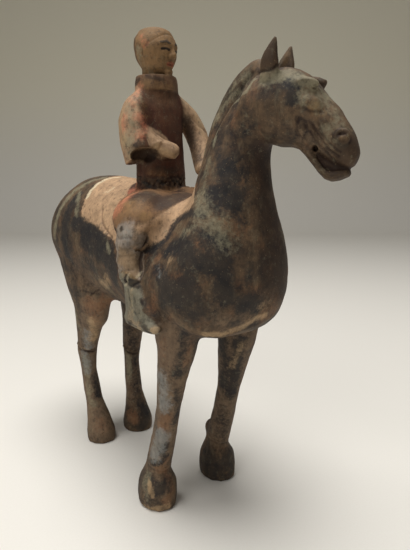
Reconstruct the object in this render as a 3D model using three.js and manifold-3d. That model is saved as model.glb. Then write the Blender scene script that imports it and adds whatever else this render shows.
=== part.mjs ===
// A painted pottery horse with its rider, fired as one figure and standing on its four hooves.
// Millimetres. +X is the way the horse faces, +Y its left side, +Z up; the hooves stand on z = 0.
// Every mass of clay is a roll: rings of named half sizes laid along a smooth line. The rolls are
// luted together into one closed body, openings are cut, and the soles are trimmed flat.
import * as THREE from "three";
import { LoftGeometry } from "three/addons/geometries/LoftGeometry.js";
import { mergeVertices } from "three/addons/utils/BufferGeometryUtils.js";
import Module from "manifold-3d";

// Driving dimensions of the horse
const BACK_HEIGHT = 219;
const BELLY_HEIGHT = 122.5;
const BODY_HALF_WIDTH = 39;
const CHEST_HALF_WIDTH = 44;
const FORE_HOOF_X = 52;
const FORE_HOOF_Y = 27.5;
const HIND_HOOF_X = -54;
const HIND_HOOF_Y = 18;
const HOCK_HEIGHT = 76;
const HOOF_HALF_WIDTH = 13;
const MANE_HALF_WIDTH = 6;
const MANE_RISE = 8;

// Driving dimensions of the horse's head, which is turned to its left
const HEAD_TURN = THREE.MathUtils.degToRad(30);
const POLL = new THREE.Vector3(118, 5, 265);
const EAR_BASE_HEIGHT = 268;
const EAR_LENGTH = 21;
const BIT_HOLE_REACH = 29;
const BIT_HOLE_HEIGHT = 234;
const BIT_HOLE_RADIUS = 1.7;
const NOSTRIL_REACH = 42.8;
const NOSTRIL_HEIGHT = 239.2;
const NOSTRIL_RADIUS = 2.3;
const EYE_REACH = 27.5;
const EYE_HEIGHT = 256.5;
const BROW_OFFSET = 11.5;
const BROW_HEIGHT = 268;

// Driving dimensions of the rider
const SEAT_X = 18;
const WAIST_HEIGHT = 216;
const SHOULDER_HEIGHT = 271;
const COLLAR_HEIGHT = 285;
const RIDER_TOP = 320;
const RIDER_LEG_Y = 43;
const RIDER_HEAD_TURN = THREE.MathUtils.degToRad(20);

const LEFT = 1;
const RIGHT = -1;
const UP = new THREE.Vector3(0, 0, 1);
const FORWARD = new THREE.Vector3(1, 0, 0);
const SIDEWAYS = new THREE.Vector3(0, 1, 0);
const PLAIN_FORM = { peak: 0, fill: 0 };
const DOME_RINGS = 2;
const MERGE_DISTANCE = 1e-4;

const wasm = await Module();
wasm.setup();

// A closed surface as a solid that can be joined and cut.
function solid(geometry) {
  const plain = new THREE.BufferGeometry();
  plain.setAttribute("position", geometry.attributes.position);
  plain.setIndex(geometry.index);
  const merged = mergeVertices(plain, MERGE_DISTANCE);
  return new wasm.Manifold(new wasm.Mesh({
    numProp: 3,
    vertProperties: new Float32Array(merged.attributes.position.array),
    triVerts: new Uint32Array(merged.index.array),
  }));
}

// A smooth line through triples of numbers.
function smooth(triples) {
  return new THREE.CatmullRomCurve3(triples.map((t) => new THREE.Vector3(...t)));
}

// One ring of a roll: sizes hold its half width, and its reach over and under the centre. peak
// draws the upper half in towards a ridge, and fill squares the lower half.
function ring(centre, along, side, sizes, sides, { peak, fill }) {
  const across = side.clone().addScaledVector(along, -side.dot(along)).normalize();
  const lift = new THREE.Vector3().crossVectors(along, across);
  const points = [];
  for (let i = 0; i < sides; i++) {
    const angle = (2 * Math.PI * i) / sides;
    const high = Math.sin(angle);
    const wide = Math.cos(angle);
    const swell = high < 0 ? 1 + 4 * fill * high * high * wide * wide : 1;
    const rise = high * (high > 0 ? sizes.y : sizes.z) - 0.4 * peak * wide * wide * sizes.z;
    points.push(centre.clone()
      .addScaledVector(across, swell * wide * sizes.x * (1 - peak * Math.max(high, 0)))
      .addScaledVector(lift, swell * rise));
  }
  return points;
}

// A roll of clay with domed ends. place, along and girth give its centre, direction and half
// sizes at 0 to 1.
function loft({ place, along, girth, side = SIDEWAYS, sides, rows, domes, form = () => PLAIN_FORM }) {
  const rings = [];
  const addDome = (t, length, sign) => {
    if (length === 0) return;
    const dome = [];
    for (let i = 1; i <= DOME_RINGS; i++) {
      const angle = (i / (DOME_RINGS + 0.2)) * (Math.PI / 2);
      const centre = place(t).addScaledVector(along(t), sign * length * Math.sin(angle));
      dome.push(ring(centre, along(t), side, girth(t).multiplyScalar(Math.cos(angle)), sides, form(t)));
    }
    rings.push(...(sign < 0 ? dome.reverse() : dome));
  };
  addDome(0, domes[0], -1);
  for (let i = 0; i <= rows; i++) {
    const t = i / rows;
    rings.push(ring(place(t), along(t), side, girth(t), sides, form(t)));
  }
  addDome(1, domes[1], 1);
  return solid(new LoftGeometry(rings, { capStart: true, capEnd: true }));
}

// A roll through stations [x, y, z, half width, over, under]. side is the direction of its
// width, and facing fixes the direction of its rings where it is given.
function roll(stations, { side = SIDEWAYS, facing = null, sides = 12, steps = 2, domes = [5, 5] } = {}) {
  const line = smooth(stations.map((s) => s.slice(0, 3)));
  const girths = smooth(stations.map((s) => s.slice(3, 6)));
  return loft({
    place: (t) => line.getPoint(t),
    along: (t) => facing ?? line.getTangent(t),
    girth: (t) => girths.getPoint(t),
    side, sides, domes,
    rows: Math.round((stations.length - 1) * steps),
  });
}

// A roll between a top line and an under line: stations [top reach, top height, under reach,
// under height, half width, shift to the left, peak, fill], set in a plane by at(reach, shift,
// height).
function profileRoll(stations, { at, side, sides, steps, domes }) {
  const top = smooth(stations.map((s) => at(s[0], s[5] ?? 0, s[1]).toArray()));
  const under = smooth(stations.map((s) => at(s[2], s[5] ?? 0, s[3]).toArray()));
  const width = smooth(stations.map((s) => [s[4], s[6] ?? 0, s[7] ?? 0]));
  const depth = (t) => top.getPoint(t).sub(under.getPoint(t));
  return loft({
    place: (t) => top.getPoint(t).lerp(under.getPoint(t), 0.5),
    along: (t) => new THREE.Vector3().crossVectors(side, depth(t)).normalize(),
    girth: (t) => new THREE.Vector3(width.getPoint(t).x, depth(t).length() / 2, depth(t).length() / 2),
    form: (t) => ({ peak: width.getPoint(t).y, fill: width.getPoint(t).z }),
    side, sides, domes,
    rows: Math.round((stations.length - 1) * steps),
  });
}

// A ball with half sizes along its own axes, turned to its left about Z.
function ball(centre, half, turn = 0, segments = 12) {
  const geometry = new THREE.SphereGeometry(1, segments, Math.round(segments * 0.6));
  geometry.rotateX(Math.PI / 2);
  geometry.scale(half[0], half[1], half[2]);
  geometry.rotateZ(turn);
  geometry.translate(centre.x, centre.y, centre.z);
  return solid(geometry);
}

// A round pin between two places.
function pin(start, end, radius, segments = 10) {
  const axis = end.clone().sub(start);
  const geometry = new THREE.CylinderGeometry(radius, radius, axis.length(), segments);
  geometry.applyQuaternion(new THREE.Quaternion().setFromUnitVectors(
    new THREE.Vector3(0, 1, 0), axis.clone().normalize()));
  const middle = start.clone().lerp(end, 0.5);
  geometry.translate(middle.x, middle.y, middle.z);
  return solid(geometry);
}

// A raised ring of clay that faces along a direction.
function hoop(centre, facing, radius, thickness) {
  const geometry = new THREE.TorusGeometry(radius, thickness, 5, 12);
  geometry.applyQuaternion(new THREE.Quaternion().setFromUnitVectors(UP, facing));
  geometry.translate(centre.x, centre.y, centre.z);
  return solid(geometry);
}

// The barrel swells to the breast and rises into the neck in one sweep.
function barrelAndNeck() {
  const w = BODY_HALF_WIDTH;
  const c = CHEST_HALF_WIDTH;
  return profileRoll([
    [-107, 204, -107, 148, 0.76 * w, 0, 0, 0.08],
    [-86, 220, -86, 133, 1.06 * w, 0, 0],
    [-50, 223, -50, BELLY_HEIGHT + 1, 1.04 * w, 0, 0],
    [-12, BACK_HEIGHT, -12, BELLY_HEIGHT, 0.98 * w, 0, 0.05],
    [22, BACK_HEIGHT - 7, 32, BELLY_HEIGHT, w, 0, 0.15],
    [48, 206, 76, 121, 0.97 * c, 0, 0.3, 0.04],
    [61, 208, 106, 127, c, 0, 0.42, 0.065],
    [68.5, 217, 118.5, 145, 0.93 * c, 0, 0.5],
    [72, 229, 121.5, 168, 0.76 * c, 0, 0.5],
    [77, 240, 119, 191, 0.56 * c, 1, 0.42],
    [83, 251, 117, 212, 0.43 * c, 2, 0.35],
    [92, 262, 115, 230, 0.35 * c, 4, 0.3],
    [106, 270, 122, 243, 0.31 * c, 5, 0.3],
  ], {
    at: (x, y, z) => new THREE.Vector3(x, y, z), side: SIDEWAYS, sides: 24, steps: 1.5, domes: [14, 0],
  });
}

// The clipped mane stands on the crest from the withers to between the ears.
function mane() {
  const r = MANE_RISE;
  return roll([
    [67, 0, 203, 3, 3, 9],
    [73.5, 0, 220, MANE_HALF_WIDTH, 0.7 * r, 10],
    [79, 1, 238, MANE_HALF_WIDTH, 0.9 * r, 10],
    [89, 2, 254, MANE_HALF_WIDTH, 1.2 * r, 10],
    [104, 3, 268, MANE_HALF_WIDTH, 1.45 * r, 10],
    [118, 4, 275, 0.8 * MANE_HALF_WIDTH, 1.2 * r, 8],
  ], { sides: 8, domes: [3, 3] });
}

const headForward = new THREE.Vector3(Math.cos(HEAD_TURN), Math.sin(HEAD_TURN), 0);
const headSide = new THREE.Vector3(-Math.sin(HEAD_TURN), Math.cos(HEAD_TURN), 0);

// A place on the head: reach in front of the poll, offset to its left, height over the ground.
function onHead(reach, offset, height) {
  return new THREE.Vector3(
    POLL.x + reach * Math.cos(HEAD_TURN) - offset * Math.sin(HEAD_TURN),
    POLL.y + reach * Math.sin(HEAD_TURN) + offset * Math.cos(HEAD_TURN),
    height,
  );
}

// The skull bends down to the muzzle, and the lower jaw hangs open beneath it.
function horseHead() {
  const skull = profileRoll([
    [-7, 270, -15, 248, 11],
    [-2, 274, -8.5, 242.5, 14.2],
    [8, 277, 0, 238.2, 16],
    [17, 276, 9, 235.2, 15.5],
    [26, 271, 18, 234.8, 13.5],
    [33.5, 261.5, 24, 231.8, 12],
    [40.5, 254, 30, 230, 10.5],
    [45.5, 246, 36, 226.6, 10],
    [49, 239.5, 42, 224.2, 9.5],
    [50, 235.5, 46, 223.6, 8],
  ], { at: onHead, side: headSide, sides: 16, steps: 1.3, domes: [3, 2.5] });
  const lowerJaw = profileRoll([
    [18, 244, 15, 237.5, 5],
    [25, 238, 21.2, 232.4, 7],
    [29.5, 231.5, 25.6, 227.4, 8.2],
    [33, 225.8, 29.9, 221.6, 8],
    [37, 223.6, 34.8, 217.2, 7.8],
    [41.5, 224, 40, 217, 7.4],
    [45.2, 223.8, 44.6, 218.8, 6],
  ], { at: onHead, side: headSide, sides: 10, steps: 1.3, domes: [0, 2] });
  const tongue = profileRoll([
    [25, 238, 24, 233.5, 3],
    [33.5, 231, 32.5, 223, 4.5],
    [42.5, 226, 41.5, 219, 4],
  ], { at: onHead, side: headSide, sides: 6, steps: 1, domes: [0, 1] });
  const eyes = [LEFT, RIGHT].map((s) => ball(
    onHead(EYE_REACH, s * 10.5, EYE_HEIGHT), [5, 3.4, 3.8], HEAD_TURN, 8));
  const nostrilRims = [LEFT, RIGHT].map((s) => hoop(
    onHead(NOSTRIL_REACH, s * 9.5, NOSTRIL_HEIGHT), headSide.clone().multiplyScalar(s),
    NOSTRIL_RADIUS + 0.9, 1.3));
  return join([skull, lowerJaw, tongue, ...eyes, brow(LEFT, 2, 4), brow(RIGHT, 0, 0), ...nostrilRims]);
}

// A brow is a ridge of clay over the eye. The left one is set further back and rises higher.
function brow(sign, back, rise) {
  const offset = sign * BROW_OFFSET;
  const height = BROW_HEIGHT + rise;
  return roll([
    [...onHead(18 - back, 0.92 * offset, height - 1.5), 2.5, 2, 3 + rise],
    [...onHead(25 - back, offset, height), 3.2, 2.8, 3 + rise],
    [...onHead(30.5 - back, offset, height - 2.5), 2.8, 2.8, 3 + rise],
  ], { side: headSide, sides: 6, steps: 1.5, domes: [2, 2] });
}

// The nostrils are pressed in, and the hole for the bit runs from cheek to cheek.
function horseHeadHoles() {
  const nostrils = [LEFT, RIGHT].map((s) => pin(
    onHead(NOSTRIL_REACH, s * 6.5, NOSTRIL_HEIGHT), onHead(NOSTRIL_REACH, s * 14, NOSTRIL_HEIGHT),
    NOSTRIL_RADIUS));
  const bit = pin(
    onHead(BIT_HOLE_REACH, -16, BIT_HOLE_HEIGHT), onHead(BIT_HOLE_REACH, 16, BIT_HOLE_HEIGHT),
    BIT_HOLE_RADIUS, 8);
  return [...nostrils, bit];
}

// An ear is a leaf of clay, hollowed towards the middle of the head. The left one is set further
// forward.
function ear(sign, reach, length) {
  const base = onHead(reach, sign * 10.5, EAR_BASE_HEIGHT);
  const tip = onHead(reach + 4, sign * 13, EAR_BASE_HEIGHT + length);
  const middle = onHead(reach + 1.7, sign * 11.8, EAR_BASE_HEIGHT + 0.5 * length);
  const leaf = roll([
    [...base, 4.8, 3.2, 3.2],
    [...middle, 5.2, 2.8, 2.8],
    [...tip, 1.3, 1, 1],
  ], { side: headForward, sides: 10, steps: 3, domes: [0, 1.5] });
  const inwards = onHead(0.6, 0, 0).sub(onHead(0, sign * 2.6, 0));
  const hollow = roll([
    [...base.clone().add(inwards), 3.2, 1.8, 1.8],
    [...middle.clone().add(inwards), 3.5, 1.6, 1.6],
    [...tip.clone().add(inwards), 0.5, 0.5, 0.5],
  ], { side: headForward, sides: 8, domes: [0, 0] });
  return leaf.subtract(hollow);
}

// lean moves the lower leg back, fullness fills its upper half on the inner side, and spur is the
// tuft behind the fetlock.
function foreleg({ side, lean, fullness, spur }) {
  const y = FORE_HOOF_Y * side;
  const x = FORE_HOOF_X - lean;
  const inwards = side * fullness;
  const leg = roll([
    [74, y * 0.92 - inwards, 146, 17 + fullness, 24, 24],
    [76, y * 0.92 - inwards, 122, 13.2 + fullness, 14, 15],
    [72 - 0.5 * lean, y * 0.97 - inwards, 100, 9.6 + fullness, 11, 12],
    [67 - lean, y - inwards, 72, 7.4, 8.5, 9],
    [59 - lean, y - inwards, 43, 8, 8.5, 9],
    [x + 2, y - inwards, 28, 8.2, 9, 9.5],
    [x + 0.5, y, 15, HOOF_HALF_WIDTH, 14.5, 15],
    [x, y, 4, HOOF_HALF_WIDTH, 15.5, 15],
    [x, y, -4, HOOF_HALF_WIDTH - 3, 12, 11],
  ], { sides: 12, steps: 1.4, domes: [0, 0] });
  const tuft = ball(new THREE.Vector3(x - 4, y * 0.92, 36), [6, 5, 7], 0, 8);
  return spur ? leg.add(tuft) : leg;
}

function hindleg(side, hoof) {
  const y = HIND_HOOF_Y * side;
  return roll([
    [-78, y * 1.1, 178, 14, 34, 34],
    [-69, y * 1.2, 156, 17, 33, 31],
    [-60, y * 1.2, 134, 15, 33, 26.5],
    [-58, y * 1.2, 120, 13, 28.5, 25],
    [-61.5, y * 1.2, 108, 11, 19, 15],
    [-66.5, y * 1.2, 88, 8.5, 11.5, 10],
    [-68.5, y * 1.2, HOCK_HEIGHT, 8, 10, 10],
    [-68, y * 1.15, 57, 6, 8, 8.5],
    [-64.5, y * 1.1, 39, 7.2, 8, 8.7],
    [-60.5, y * 1.06, 27, 7.6, 6.5, 7.4],
    [HIND_HOOF_X - 1, y, 11, hoof, 12.5, 13.5],
    [HIND_HOOF_X, y, 2, hoof, 12.8, 13],
    [HIND_HOOF_X, y, -4, hoof - 2, 11, 10],
  ], { sides: 12, steps: 1.2, domes: [0, 0] });
}

// The rider's leg lies flat on the horse's flank. The robe's skirt covers the thigh, the
// trouser leg ends in a hem below the knee, and the boot comes out of it.
function riderLeg(sign) {
  const y = RIDER_LEG_Y * sign;
  const trouser = roll([
    [22, 2 * sign, 205, 18, 7, 8],
    [29.5, 0.47 * y, 205, 18, 7.5, 10],
    [40, 0.8 * y, 198, 17, 9, 10],
    [48, 0.94 * y, 188, 14.5, 8.5, 9.5],
    [47, y, 177, 9.5, 7, 8.5],
    [47.8, y, 166, 9, 6.5, 8],
    [51, 1.01 * y, 157.5, 10.2, 6.5, 8],
  ], { side: FORWARD, sides: 12, steps: 1.5, domes: [0, 0] });
  const boot = roll([
    [50, y, 163, 7, 5, 7],
    [53.7, y, 153, 9.4, 5.2, 7],
    [56.3, y, 145, 12, 5.2, 7],
    [58.7, y, 138.5, 15.3, 5.2, 6.5],
    [60, y, 133, 17.8, 5, 5.5],
  ], { side: FORWARD, sides: 12, steps: 1.5, domes: [0, 2.5] });
  const foot = roll([
    [48, y, 133, 5.2, 4.5, 5.5],
    [60, y, 132.5, 5.3, 5, 5.2],
    [72, 1.01 * y, 131.6, 4.8, 4.2, 4.4],
    [80, 1.02 * y, 131.4, 3.8, 3, 3],
  ], { sides: 10, domes: [3, 4] });
  return join([trouser, boot, foot]);
}

// The skirt of the robe lies over both thighs and ends in front on the horse's withers.
function robeLap() {
  return roll([
    [46, 38, 190, 16, 3.5, 5],
    [46, 30, 196, 17.5, 4.5, 5],
    [45, 17, 203, 18.5, 4.5, 6],
    [44, 0, 206.5, 19, 4.5, 6],
    [45, -17, 203, 18.5, 4.5, 6],
    [46, -30, 196, 17.5, 4.5, 5],
    [46, -38, 190, 16, 3.5, 5],
  ], { side: FORWARD, sides: 10, steps: 1, domes: [3, 3] });
}

function riderTorso() {
  const x = SEAT_X;
  return roll([
    [x + 2, 0, 200, 26, 18, 22],
    [x, 0, WAIST_HEIGHT - 6, 21, 14, 15],
    [x, 0.8, WAIST_HEIGHT + 1, 19.4, 11.5, 12.5],
    [x, 0.6, 230, 18.6, 11, 12],
    [x - 1, 0, 250, 18, 11, 12],
    [x - 2, 0, 264, 19.5, 11, 11.5],
    [x - 3, 0, SHOULDER_HEIGHT + 2, 18.5, 11, 11],
    [x - 3, 0, COLLAR_HEIGHT - 3, 13, 11, 11],
  ], { facing: UP, sides: 16, steps: 1.5, domes: [0, 2] });
}

// The wide right sleeve hangs down and ends in an open cuff.
function rightSleeve() {
  const arm = roll([
    [SEAT_X - 3, -12, SHOULDER_HEIGHT + 2, 7, 7, 7],
    [16, -19, 262, 10.5, 9.5, 9.5],
    [17, -19.5, 249, 11.5, 10, 10],
    [19, -19, 243, 12, 11, 11],
    [22, -17, 232, 12, 11, 10],
  ], { side: FORWARD, sides: 14, steps: 1.6, domes: [0, 0] });
  const forearm = roll([
    [19, -17, 250, 9, 8, 8],
    [24, -13, 244.5, 8, 7, 7],
    [30, -7, 240, 6, 6, 5.5],
  ], { side: FORWARD, sides: 12, steps: 1.5, domes: [0, 0] });
  return arm.add(forearm);
}

const cuffHollow = () => ball(new THREE.Vector3(30, -18.6, 234), [10, 10.5, 6], -0.65, 12);

function rightFist() {
  return roll([
    [27, -10, 242, 5, 5, 5],
    [31, -5, 239.5, 5.5, 5.5, 5.5],
    [35, 0, 237, 5, 5, 5.5],
  ], { side: FORWARD, sides: 10, steps: 1.5, domes: [2, 4] });
}

function riderLeftArm() {
  return roll([
    [SEAT_X - 3, 13, SHOULDER_HEIGHT + 1, 7, 7, 7],
    [17, 24, 262, 8.5, 8, 8],
    [21, 30, 249, 8.5, 8, 8],
    [30, 27, 236, 7.5, 7, 7],
    [41, 19, 225, 5, 4.5, 4.5],
  ], { side: FORWARD, sides: 12, domes: [0, 3] });
}

function riderHead() {
  const x = SEAT_X - 3.5;
  const throat = roll([
    [x, 0, COLLAR_HEIGHT - 6, 10, 9, 9],
    [x, 0, COLLAR_HEIGHT + 2, 9.5, 9, 8.5],
    [x, 0, 296, 10, 10, 9],
  ], { facing: UP, sides: 14, domes: [2, 2] });
  const skull = roll([
    [x + 1, 0, 292, 10, 9, 11],
    [x, 0, 298, 13.5, 13, 13.5],
    [x, 0, 306, 15, 15, 14.5],
    [x - 1, 0, 312, 14, 14.5, 13.5],
  ], { facing: UP, sides: 16, steps: 3, domes: [5, RIDER_TOP - 312] });
  const place = new THREE.Vector3(x, 0, 0);
  const forward = new THREE.Vector3(Math.cos(RIDER_HEAD_TURN), Math.sin(RIDER_HEAD_TURN), 0);
  const noseTop = place.clone().addScaledVector(forward, 13).setZ(307);
  const noseTip = place.clone().addScaledVector(forward, 15).setZ(301);
  const nose = roll([
    [...noseTop, 1.3, 1, 2],
    [...noseTip, 2.1, 1, 2.4],
  ], { sides: 8, domes: [1, 1] });
  return join([throat, skull, nose]);
}

// The collar stands up round the throat, a little way off it.
function collar() {
  const x = SEAT_X - 3;
  const band = roll([
    [x, 0, COLLAR_HEIGHT - 7, 16, 12.5, 13],
    [x, 0, COLLAR_HEIGHT - 1, 15, 13.2, 13.5],
    [x, 0, COLLAR_HEIGHT + 2.5, 14.2, 12.8, 13.2],
  ], { facing: UP, sides: 14, steps: 1, domes: [0, 0.6] });
  const opening = roll([
    [x, 0, COLLAR_HEIGHT - 1, 11, 10.5, 11],
    [x, 0, COLLAR_HEIGHT + 8, 12.2, 11.2, 11.6],
  ], { facing: UP, sides: 14, steps: 1, domes: [0, 0] });
  return band.subtract(opening);
}

function join(solids) {
  return solids.reduce((sum, next) => sum.add(next));
}

function cut(solidBody, holes) {
  return holes.reduce((rest, hole) => rest.subtract(hole), solidBody);
}

const horse = join([
  barrelAndNeck(), mane(), cut(horseHead(), horseHeadHoles()),
  ear(RIGHT, 4, EAR_LENGTH - 1), ear(LEFT, 5.7, EAR_LENGTH),
  foreleg({ side: LEFT, lean: 3.5, fullness: 1.7, spur: true }),
  foreleg({ side: RIGHT, lean: 0, fullness: 0, spur: false }),
  hindleg(LEFT, HOOF_HALF_WIDTH), hindleg(RIGHT, HOOF_HALF_WIDTH - 1),
]);
const robe = join([riderTorso(), robeLap(), rightSleeve(), riderLeftArm()]).subtract(cuffHollow());
const rider = join([robe, rightFist(), riderLeg(LEFT), riderLeg(RIGHT), collar(), riderHead()]);
const ground = solid(new THREE.BoxGeometry(600, 400, 60).translate(0, 0, -30));
const firedFigure = horse.add(rider).subtract(ground);

function meshOf(manifold) {
  const mesh = manifold.getMesh();
  const geometry = new THREE.BufferGeometry();
  geometry.setAttribute("position", new THREE.BufferAttribute(new Float32Array(mesh.vertProperties), 3));
  geometry.setIndex(new THREE.BufferAttribute(new Uint32Array(mesh.triVerts), 1));
  geometry.computeVertexNormals();
  return geometry;
}

const paintedClay = new THREE.MeshStandardMaterial({ color: 0x6b5d50, roughness: 0.85, metalness: 0 });
const figure = new THREE.Mesh(meshOf(firedFigure), paintedClay);
figure.name = "horse_and_rider";

const group = new THREE.Group();
group.add(figure);
const bounds = new THREE.Box3().setFromObject(group);
group.position.set(-(bounds.min.x + bounds.max.x) / 2, -(bounds.min.y + bounds.max.y) / 2, -bounds.min.z);
export default group;
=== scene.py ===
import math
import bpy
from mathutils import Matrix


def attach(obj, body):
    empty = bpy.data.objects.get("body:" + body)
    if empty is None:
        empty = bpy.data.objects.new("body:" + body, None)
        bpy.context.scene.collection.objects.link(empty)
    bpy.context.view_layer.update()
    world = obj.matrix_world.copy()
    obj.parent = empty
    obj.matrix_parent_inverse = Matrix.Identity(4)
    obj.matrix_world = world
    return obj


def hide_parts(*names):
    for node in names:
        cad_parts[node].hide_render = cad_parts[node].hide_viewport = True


bl_info = {
    "name": "Horse and rider figure",
    "version": (1, 0, 0),
    "blender": (4, 5, 0),
    "location": "View3D > Sidebar > Figure",
    "description": "Builds a painted pottery figure of a horse and its rider on a pale sweep",
    "category": "Object",
}

import bpy
import numpy as np
from mathutils import Vector, noise
from mathutils.bvhtree import BVHTree

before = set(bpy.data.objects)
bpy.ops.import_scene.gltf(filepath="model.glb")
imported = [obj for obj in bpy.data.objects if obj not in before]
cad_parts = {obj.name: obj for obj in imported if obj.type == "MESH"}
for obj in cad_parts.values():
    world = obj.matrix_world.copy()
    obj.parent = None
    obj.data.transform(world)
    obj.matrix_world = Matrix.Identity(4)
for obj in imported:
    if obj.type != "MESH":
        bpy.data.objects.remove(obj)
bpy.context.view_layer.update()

# Places are millimetres in the figure's own frame: +X forward, +Y to its left, +Z up.
MM = 0.001
UP = Vector((0, 0, 1))
NODE = "horse_and_rider"
PIECE = "horse_and_rider_clay"
FORM = "smoothed_form"
RIDER_HEAD = (-7.2, -0.6)
RIDER_TURN = math.radians(20)
POLL = (96.3, 4.4)
HORSE_TURN = math.radians(30)

# The photo's camera, worked out from the hooves on the ground, with the photo's size, the focal length and
# how far a mark may lie off the figure, all three in pixels.
PHOTO_EYE = (310.3253, -198.745, 216)
PHOTO_HEADING = (-0.798, 0.603)
PHOTO_PITCH = math.radians(10)
PHOTO_SIZE = (410, 550)
PHOTO_FOCAL = 518
MARK_REACH = 4


# Places on the two heads.

def turned(origin, turn, reach, offset, height):
    """The point at a reach in front of the origin, an offset to its left and a height."""
    return (
        origin[0] + reach * math.cos(turn) - offset * math.sin(turn),
        origin[1] + reach * math.sin(turn) + offset * math.cos(turn),
        height,
    )


def on_rider(reach, offset, height):
    return turned(RIDER_HEAD, RIDER_TURN, reach, offset, height)


def on_horse(reach, offset, height):
    return turned(POLL, HORSE_TURN, reach, offset, height)


def head_lumps(on_head, turn, rows):
    """Lumps of clay on a head, on both its sides where they are off the middle."""
    return tuple(
        (on_head(reach, side * offset, height), radii, turn)
        for reach, offset, height, radii in rows
        for side in ((1, -1) if offset else (1,)))


def on_face(*row):
    """A row with the places in it put on the rider's head."""
    return tuple(on_rider(*part) if isinstance(part, tuple) else part for part in row)


def face_pair(*row):
    """The row on the left of the rider's face, and its mirror image on the right."""
    mirror = [(part[0], -part[1], part[2]) if isinstance(part, tuple) else part for part in row]
    return on_face(*row), on_face(*mirror)


def mirrored(path, middle=-1):
    """A path on the right carried over to the left of the plane Y = middle."""
    return tuple((place[0], 2 * middle - place[1], *place[2:]) for place in path)


# Lumps of clay laid on before the figure is smoothed. On the rider's head: eyes, tip and wings of the
# nose, chin and ears.
FACE_LUMPS = head_lumps(on_rider, RIDER_TURN, (
    (11.2, 5.5, 303.4, (2.4, 3.0, 2.0)),
    (14.8, 0, 299.9, (2.0, 1.9, 1.8)),
    (13.6, 1.8, 299.3, (1.7, 1.4, 1.3)),
    (9.8, 0, 290.0, (3.2, 4.2, 2.8)),
    (-0.5, 14.2, 301.5, (2.4, 1.3, 4.0)),
))
# On the horse's head: earth in the nostrils and in the hole for the bit, and the eyes.
HORSE_LUMPS = head_lumps(on_horse, HORSE_TURN, (
    (43.4, 9.8, 238.4, (3.2, 2.0, 1.7)),
    (29.0, 0, 234.0, (3.0, 3.0, 3.0)),
    (28.0, 10.6, 256.0, (5.4, 3.2, 4.2)),
))
# Between the rider's lap and the horse's shoulder: place and radii.
LAP_RIGHT = (
    ((32, -32, 187), (6.5, 6.0, 6.0)),
    ((35, -27, 190), (6.5, 6.0, 6.0)),
    ((38, -21, 194), (7.0, 6.0, 5.5)),
)
LAP_MIDDLE = ((42, -14, 197), (7.0, 6.0, 5.0))
LAP_LEFT = tuple((*mirrored([place], -0.5), radii) for place, radii in LAP_RIGHT)
LAP_LUMPS = tuple((place, radii, 0.0) for place, radii in (*LAP_RIGHT, LAP_MIDDLE, *LAP_LEFT))

# How far each region is smoothed: the smoothing width, the region's radius, and its path.
SMOOTHED = (
    (2.4, 16, (-94, 20, 100), (-87, 22, 60), (-78, 17, 28)),
    (2.4, 16, (-78, -20, 100), (-86, -22, 60), (-78, -21, 28)),
    (2.6, 16, (62, -30, 118), (54, -28, 70), (38, -28, 32)),
    (2.6, 16, (62, 28, 118), (50, 26, 70), (34, 26, 32)),
    (1.6, 16, (-75, 17, 14), (-73, 17, 0)),
    (1.6, 16, (-75, -19, 14), (-73, -19, 0)),
    (1.6, 16, (34, -28, 16), (36, -28, 0)),
    (1.6, 16, (31, 27, 16), (32, 27, 0)),
    (2.8, 20, (-4, -1, 214), (-6, -1, 264)),
    (2.2, 12, (-7, -13, 272), (-5, -20, 250), (0, -18, 234)),
    (2.2, 10, (-7, 12, 272), (-1, 29, 249), (19, 18, 225)),
    (2.0, 11, (18, -35, 198), (26, -44, 182), (27, -44, 164)),
    (2.0, 11, (18, 34, 198), (26, 42, 182), (27, 42, 164)),
    (1.3, 9, (30, -44, 156), (38, -44, 134), (62, -44, 131)),
    (1.3, 9, (30, 42, 156), (38, 42, 134), (62, 42, 131)),
    (2.0, 17, (-7, -1, 290), (-7, -1, 308)),
    (2.4, 18, on_horse(0, 0, 262), on_horse(28, 0, 248), on_horse(46, 0, 228)),
)

# Where the modelled edges are kept as they are: the radius and the path.
KEPT_SHARP = (
    (7, on_horse(0.5, -10.5, 270), on_horse(4, -13, 291)),
    (7, on_horse(6, 10.5, 270), on_horse(10, 13, 291)),
    (5, on_horse(42.8, -9.5, 239.2)),
    (5, on_horse(42.8, 9.5, 239.2)),
    (4, on_horse(29, -9, 234)),
    (4, on_horse(29, 9, 234)),
    (9.5, on_horse(24, 0, 234), on_horse(34, 0, 225.5), on_horse(46, 0, 220.5)),
    (12, (0, -18, 230), (10, -18, 236)),
    (7, (4, -11, 242), (14, -1, 236)),
    (15, (-7, -1, 285)),
    (5, on_horse(20, 11, 268), on_horse(31, 11.5, 266)),
    (6, on_horse(28, 0, 224), on_horse(43, 0, 214)),
    (7, on_horse(2, -12, 284), on_horse(3, -12.5, 296)),
    (7, on_horse(8, 12, 284), on_horse(9, 12.5, 297)),
    (7, on_rider(14, 0, 299), on_rider(12, 0, 292)),
)

# Lines on the rider's right leg that the left one has too.
THIGH_EDGE = ((-34, -35, 200), (-31, -37, 193), (-24, -39, 187), (-10, -41, 181))
HIGH_FOLD = ((16, -52, 186), (26, -53, 183), (34, -46, 184))
LOW_FOLD = ((15, -52, 175), (25, -53, 172), (35, -45, 173))
BOOT_TOP = ((18, -50, 156), (24, -53, 154), (30, -54, 157), (36, -50, 154), (40, -44, 157))
SOLE_EDGE = ((22, -52, 130), (40, -51, 129), (60, -48, 129))

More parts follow.
